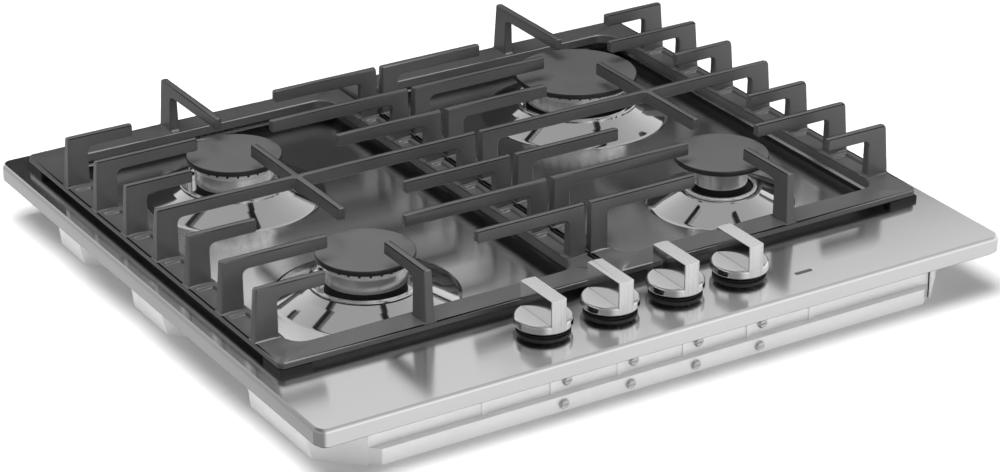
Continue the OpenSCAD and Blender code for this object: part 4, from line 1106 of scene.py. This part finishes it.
@dataclass
class Studio:
    """Floor, world, lamps and the camera at the photograph's angle; eye and target are counted from the deck."""

    deck: float
    lens: float = 115.3
    sensor: float = 36.0
    eye: Triple = (-1.1667, -1.8999, 1.0156)
    target: Triple = (-0.029, -0.0636, 0.0)
    overhead: Point = (0.05, 0.95)
    overhead_levels: Point = (1.0, 0.42)
    underneath: Point = (-0.5, -0.05)
    underneath_levels: Point = (0.72, 1.0)
    wing: Point = (-0.6, -0.1)
    wing_levels: Point = (0.35, 1.0)
    ambient: float = 0.34
    floor_size: float = 12.0
    floor_tone: float = 0.93
    card_tone: float = 0.02
    card_y: float = 0.5
    card_depth: float = 0.02
    cards: tuple[Triple, ...] = ((-0.22, 0.10, 0.30), (0.10, 0.32, 0.38), (0.32, 0.56, 0.46), (0.56, 1.5, 0.44))
    lamps: tuple[Lamp, ...] = (
        Lamp("key", (-0.7, -0.3, 2.4), (1.8, 1.8), 92),
        Lamp("front fill", (-0.4, -2.6, 0.9), (1.8, 0.9), 10),
        Lamp("left panel", (-2.2, -0.5, 1.1), (1.2, 1.2), 3),
        Lamp("edge light", (0.7, -1.0, 1.7), (1.6, 1.2), 24, for_castings=True),
        Lamp("rim light", (-1.0, 1.6, 1.1), (1.6, 0.8), 3, for_castings=True),
    )

    def camera(self) -> None:
        """Adds the camera and makes it the scene's own."""
        data = bpy.data.cameras.new("camera")
        data.lens = self.lens
        data.sensor_width = self.sensor
        camera = bpy.data.objects.new("camera", data)
        eye = Vector(self.eye) + Vector((0, 0, self.deck))
        target = Vector(self.target) + Vector((0, 0, self.deck))
        camera.location = eye
        camera.rotation_euler = (target - eye).to_track_quat("-Z", "Y").to_euler()
        bpy.context.scene.collection.objects.link(camera)
        bpy.context.scene.camera = camera

    def hang(self, lamp: Lamp, castings: Sequence[Object]) -> None:
        """Hangs a lamp.

        Args:
            lamp: what is hung.
            castings: all that a lamp for castings lights; only such a lamp is mirrored.
        """
        data = bpy.data.lights.new(lamp.name, "AREA")
        data.shape = "RECTANGLE"
        data.size, data.size_y = lamp.size
        data.energy = lamp.power
        light = bpy.data.objects.new(lamp.name, data)
        light.location = lamp.place
        light.rotation_euler = (Vector((0, 0, self.deck)) - Vector(lamp.place)).to_track_quat("-Z", "Y").to_euler()
        light.visible_glossy = lamp.for_castings
        bpy.context.scene.collection.objects.link(light)
        if lamp.for_castings:
            lit = bpy.data.collections.new(f"lit by {lamp.name}")
            for obj in castings:
                lit.objects.link(obj)
            light.light_linking.receiver_collection = lit

    def world(self) -> None:
        """Sets a white background, which shiny metal sees dimmed overhead, on the left and underneath."""
        world = bpy.data.worlds.new("studio")
        bpy.context.scene.world = world
        world.use_nodes = True
        wiring = Wiring(world.node_tree)
        ray = wiring.add("ShaderNodeLightPath").outputs
        place = wiring.add("ShaderNodeTexCoord").outputs["Generated"]
        axis = wiring.add("ShaderNodeSeparateXYZ", {"Vector": place}).outputs
        overhead = wiring.ramp(axis["Z"], self.overhead, self.overhead_levels, Easing.SMOOTH)
        underneath = wiring.ramp(axis["Z"], self.underneath, self.underneath_levels, Easing.SMOOTH)
        wing = wiring.ramp(axis["X"], self.wing, self.wing_levels, Easing.SMOOTH)
        mirrored = wiring.math("MULTIPLY", wiring.math("MULTIPLY", overhead, underneath), wing)
        shiny = wiring.math("MAXIMUM", ray["Is Glossy Ray"], ray["Is Transmission Ray"])
        lit = wiring.add("ShaderNodeMix", {"Factor": shiny, "A": self.ambient, "B": mirrored})
        seen = wiring.add("ShaderNodeMix", {"Factor": ray["Is Camera Ray"], "A": lit.outputs["Result"], "B": 1.0})
        wiring.feed(world.node_tree.nodes["Background"], {"Color": (1, 1, 1, 1), "Strength": seen.outputs["Result"]})

    @staticmethod
    def paint(name: str, tone: float, specular: float = 0.5) -> Material:
        """Makes a plain matte paint for the studio's own things.

        Args:
            name: the paint's name.
            tone: its level.
            specular: its specular level.

        Returns:
            The new material.
        """
        material = bpy.data.materials.new(name)
        material.use_nodes = True
        Wiring(material.node_tree).feed(material.node_tree.nodes["Principled BSDF"], {
            "Base Color": (*grey(tone), 1), "Roughness": 0.9, "Specular IOR Level": specular})
        return material

    def floor(self) -> None:
        """Adds the pale floor that keeps the cooktop's shadow."""
        Bench.clear()
        bpy.ops.mesh.primitive_plane_add(size=self.floor_size, location=(0, 0, 0))
        floor = bpy.context.object
        floor.name = "studio_floor"
        floor.data.materials.append(self.paint("pale floor", self.floor_tone, specular=0.1))
        floor.visible_glossy = False

    def flags(self) -> None:
        """Stands dark cards behind the hob, which only the shiny metal sees."""
        paint = self.paint("dark card", self.card_tone)
        for index, (left, right, top) in enumerate(self.cards):
            card = Bench.block(f"studio_flag_{index}", (left, self.card_y, 0.0),
                               (right, self.card_y + self.card_depth, top))
            card.data.materials.append(paint)
            card.visible_camera = card.visible_shadow = card.visible_diffuse = False

    def build(self, castings: Sequence[Object]) -> None:
        """Builds the whole studio.

        Args:
            castings: the enamelled castings, which get a light of their own along their edges.
        """
        self.world()
        self.floor()
        self.flags()
        for lamp in self.lamps:
            self.hang(lamp, castings)
        self.camera()


def main() -> None:
    """Loads the frame, builds each sub-assembly and sets the studio."""
    logging.basicConfig(level=logging.INFO, format="%(name)s: %(message)s")
    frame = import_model()
    bpy.context.scene.view_settings.view_transform = "Standard"
    finishes = Finishes()
    for name, node in frame["nodes"].items():
        finish = finishes.for_node(name)
        if finish:
            dress(node, finish)
    burners = [Burner(Spot.LEFT_BACK, DECK, dome_d=132.5, lip_d=84),
               Burner(Spot.LEFT_FRONT, DECK, dome_d=132.5, lip_d=84),
               Burner(Spot.RIGHT_BACK, DECK, dome_d=148, lip_d=101),
               Burner(Spot.RIGHT_FRONT, DECK, dome_d=109, lip_d=64, flange=True, lip_h=5.0, channel=7.0, bead=0.0,
                      lip_w=2.5)]
    TopPlate(DECK).build(burners, finishes.plate)
    rings = [FlameRing(burners[0]), FlameRing(burners[1]), FlameRing(burners[2], ports=32),
             FlameRing(burners[3], ports=16, flange_r=28.5)]
    for burner, ring in zip(burners, rings):
        burner.build_dome(finishes.dome)
        ring.build(finishes.ring, finishes.band, finishes.cup)
        burner.build_cap(finishes.cap, finishes.cap_shaded_edge)
    castings = [Casting(f"pan_support_{side}", "cast_iron", width=0.9, segments=1).build(frame, finishes.iron)
                for side in ("left", "right")]
    for name in KNOBS:
        knob = Knob(name, "knob_metal", width=0.5, segments=3)
        knob.dress_faces(knob.build(frame, finishes.knob), finishes.bar, finishes.disc)
    Studio(DECK).build(castings)


if __name__ == "__main__":
    main()
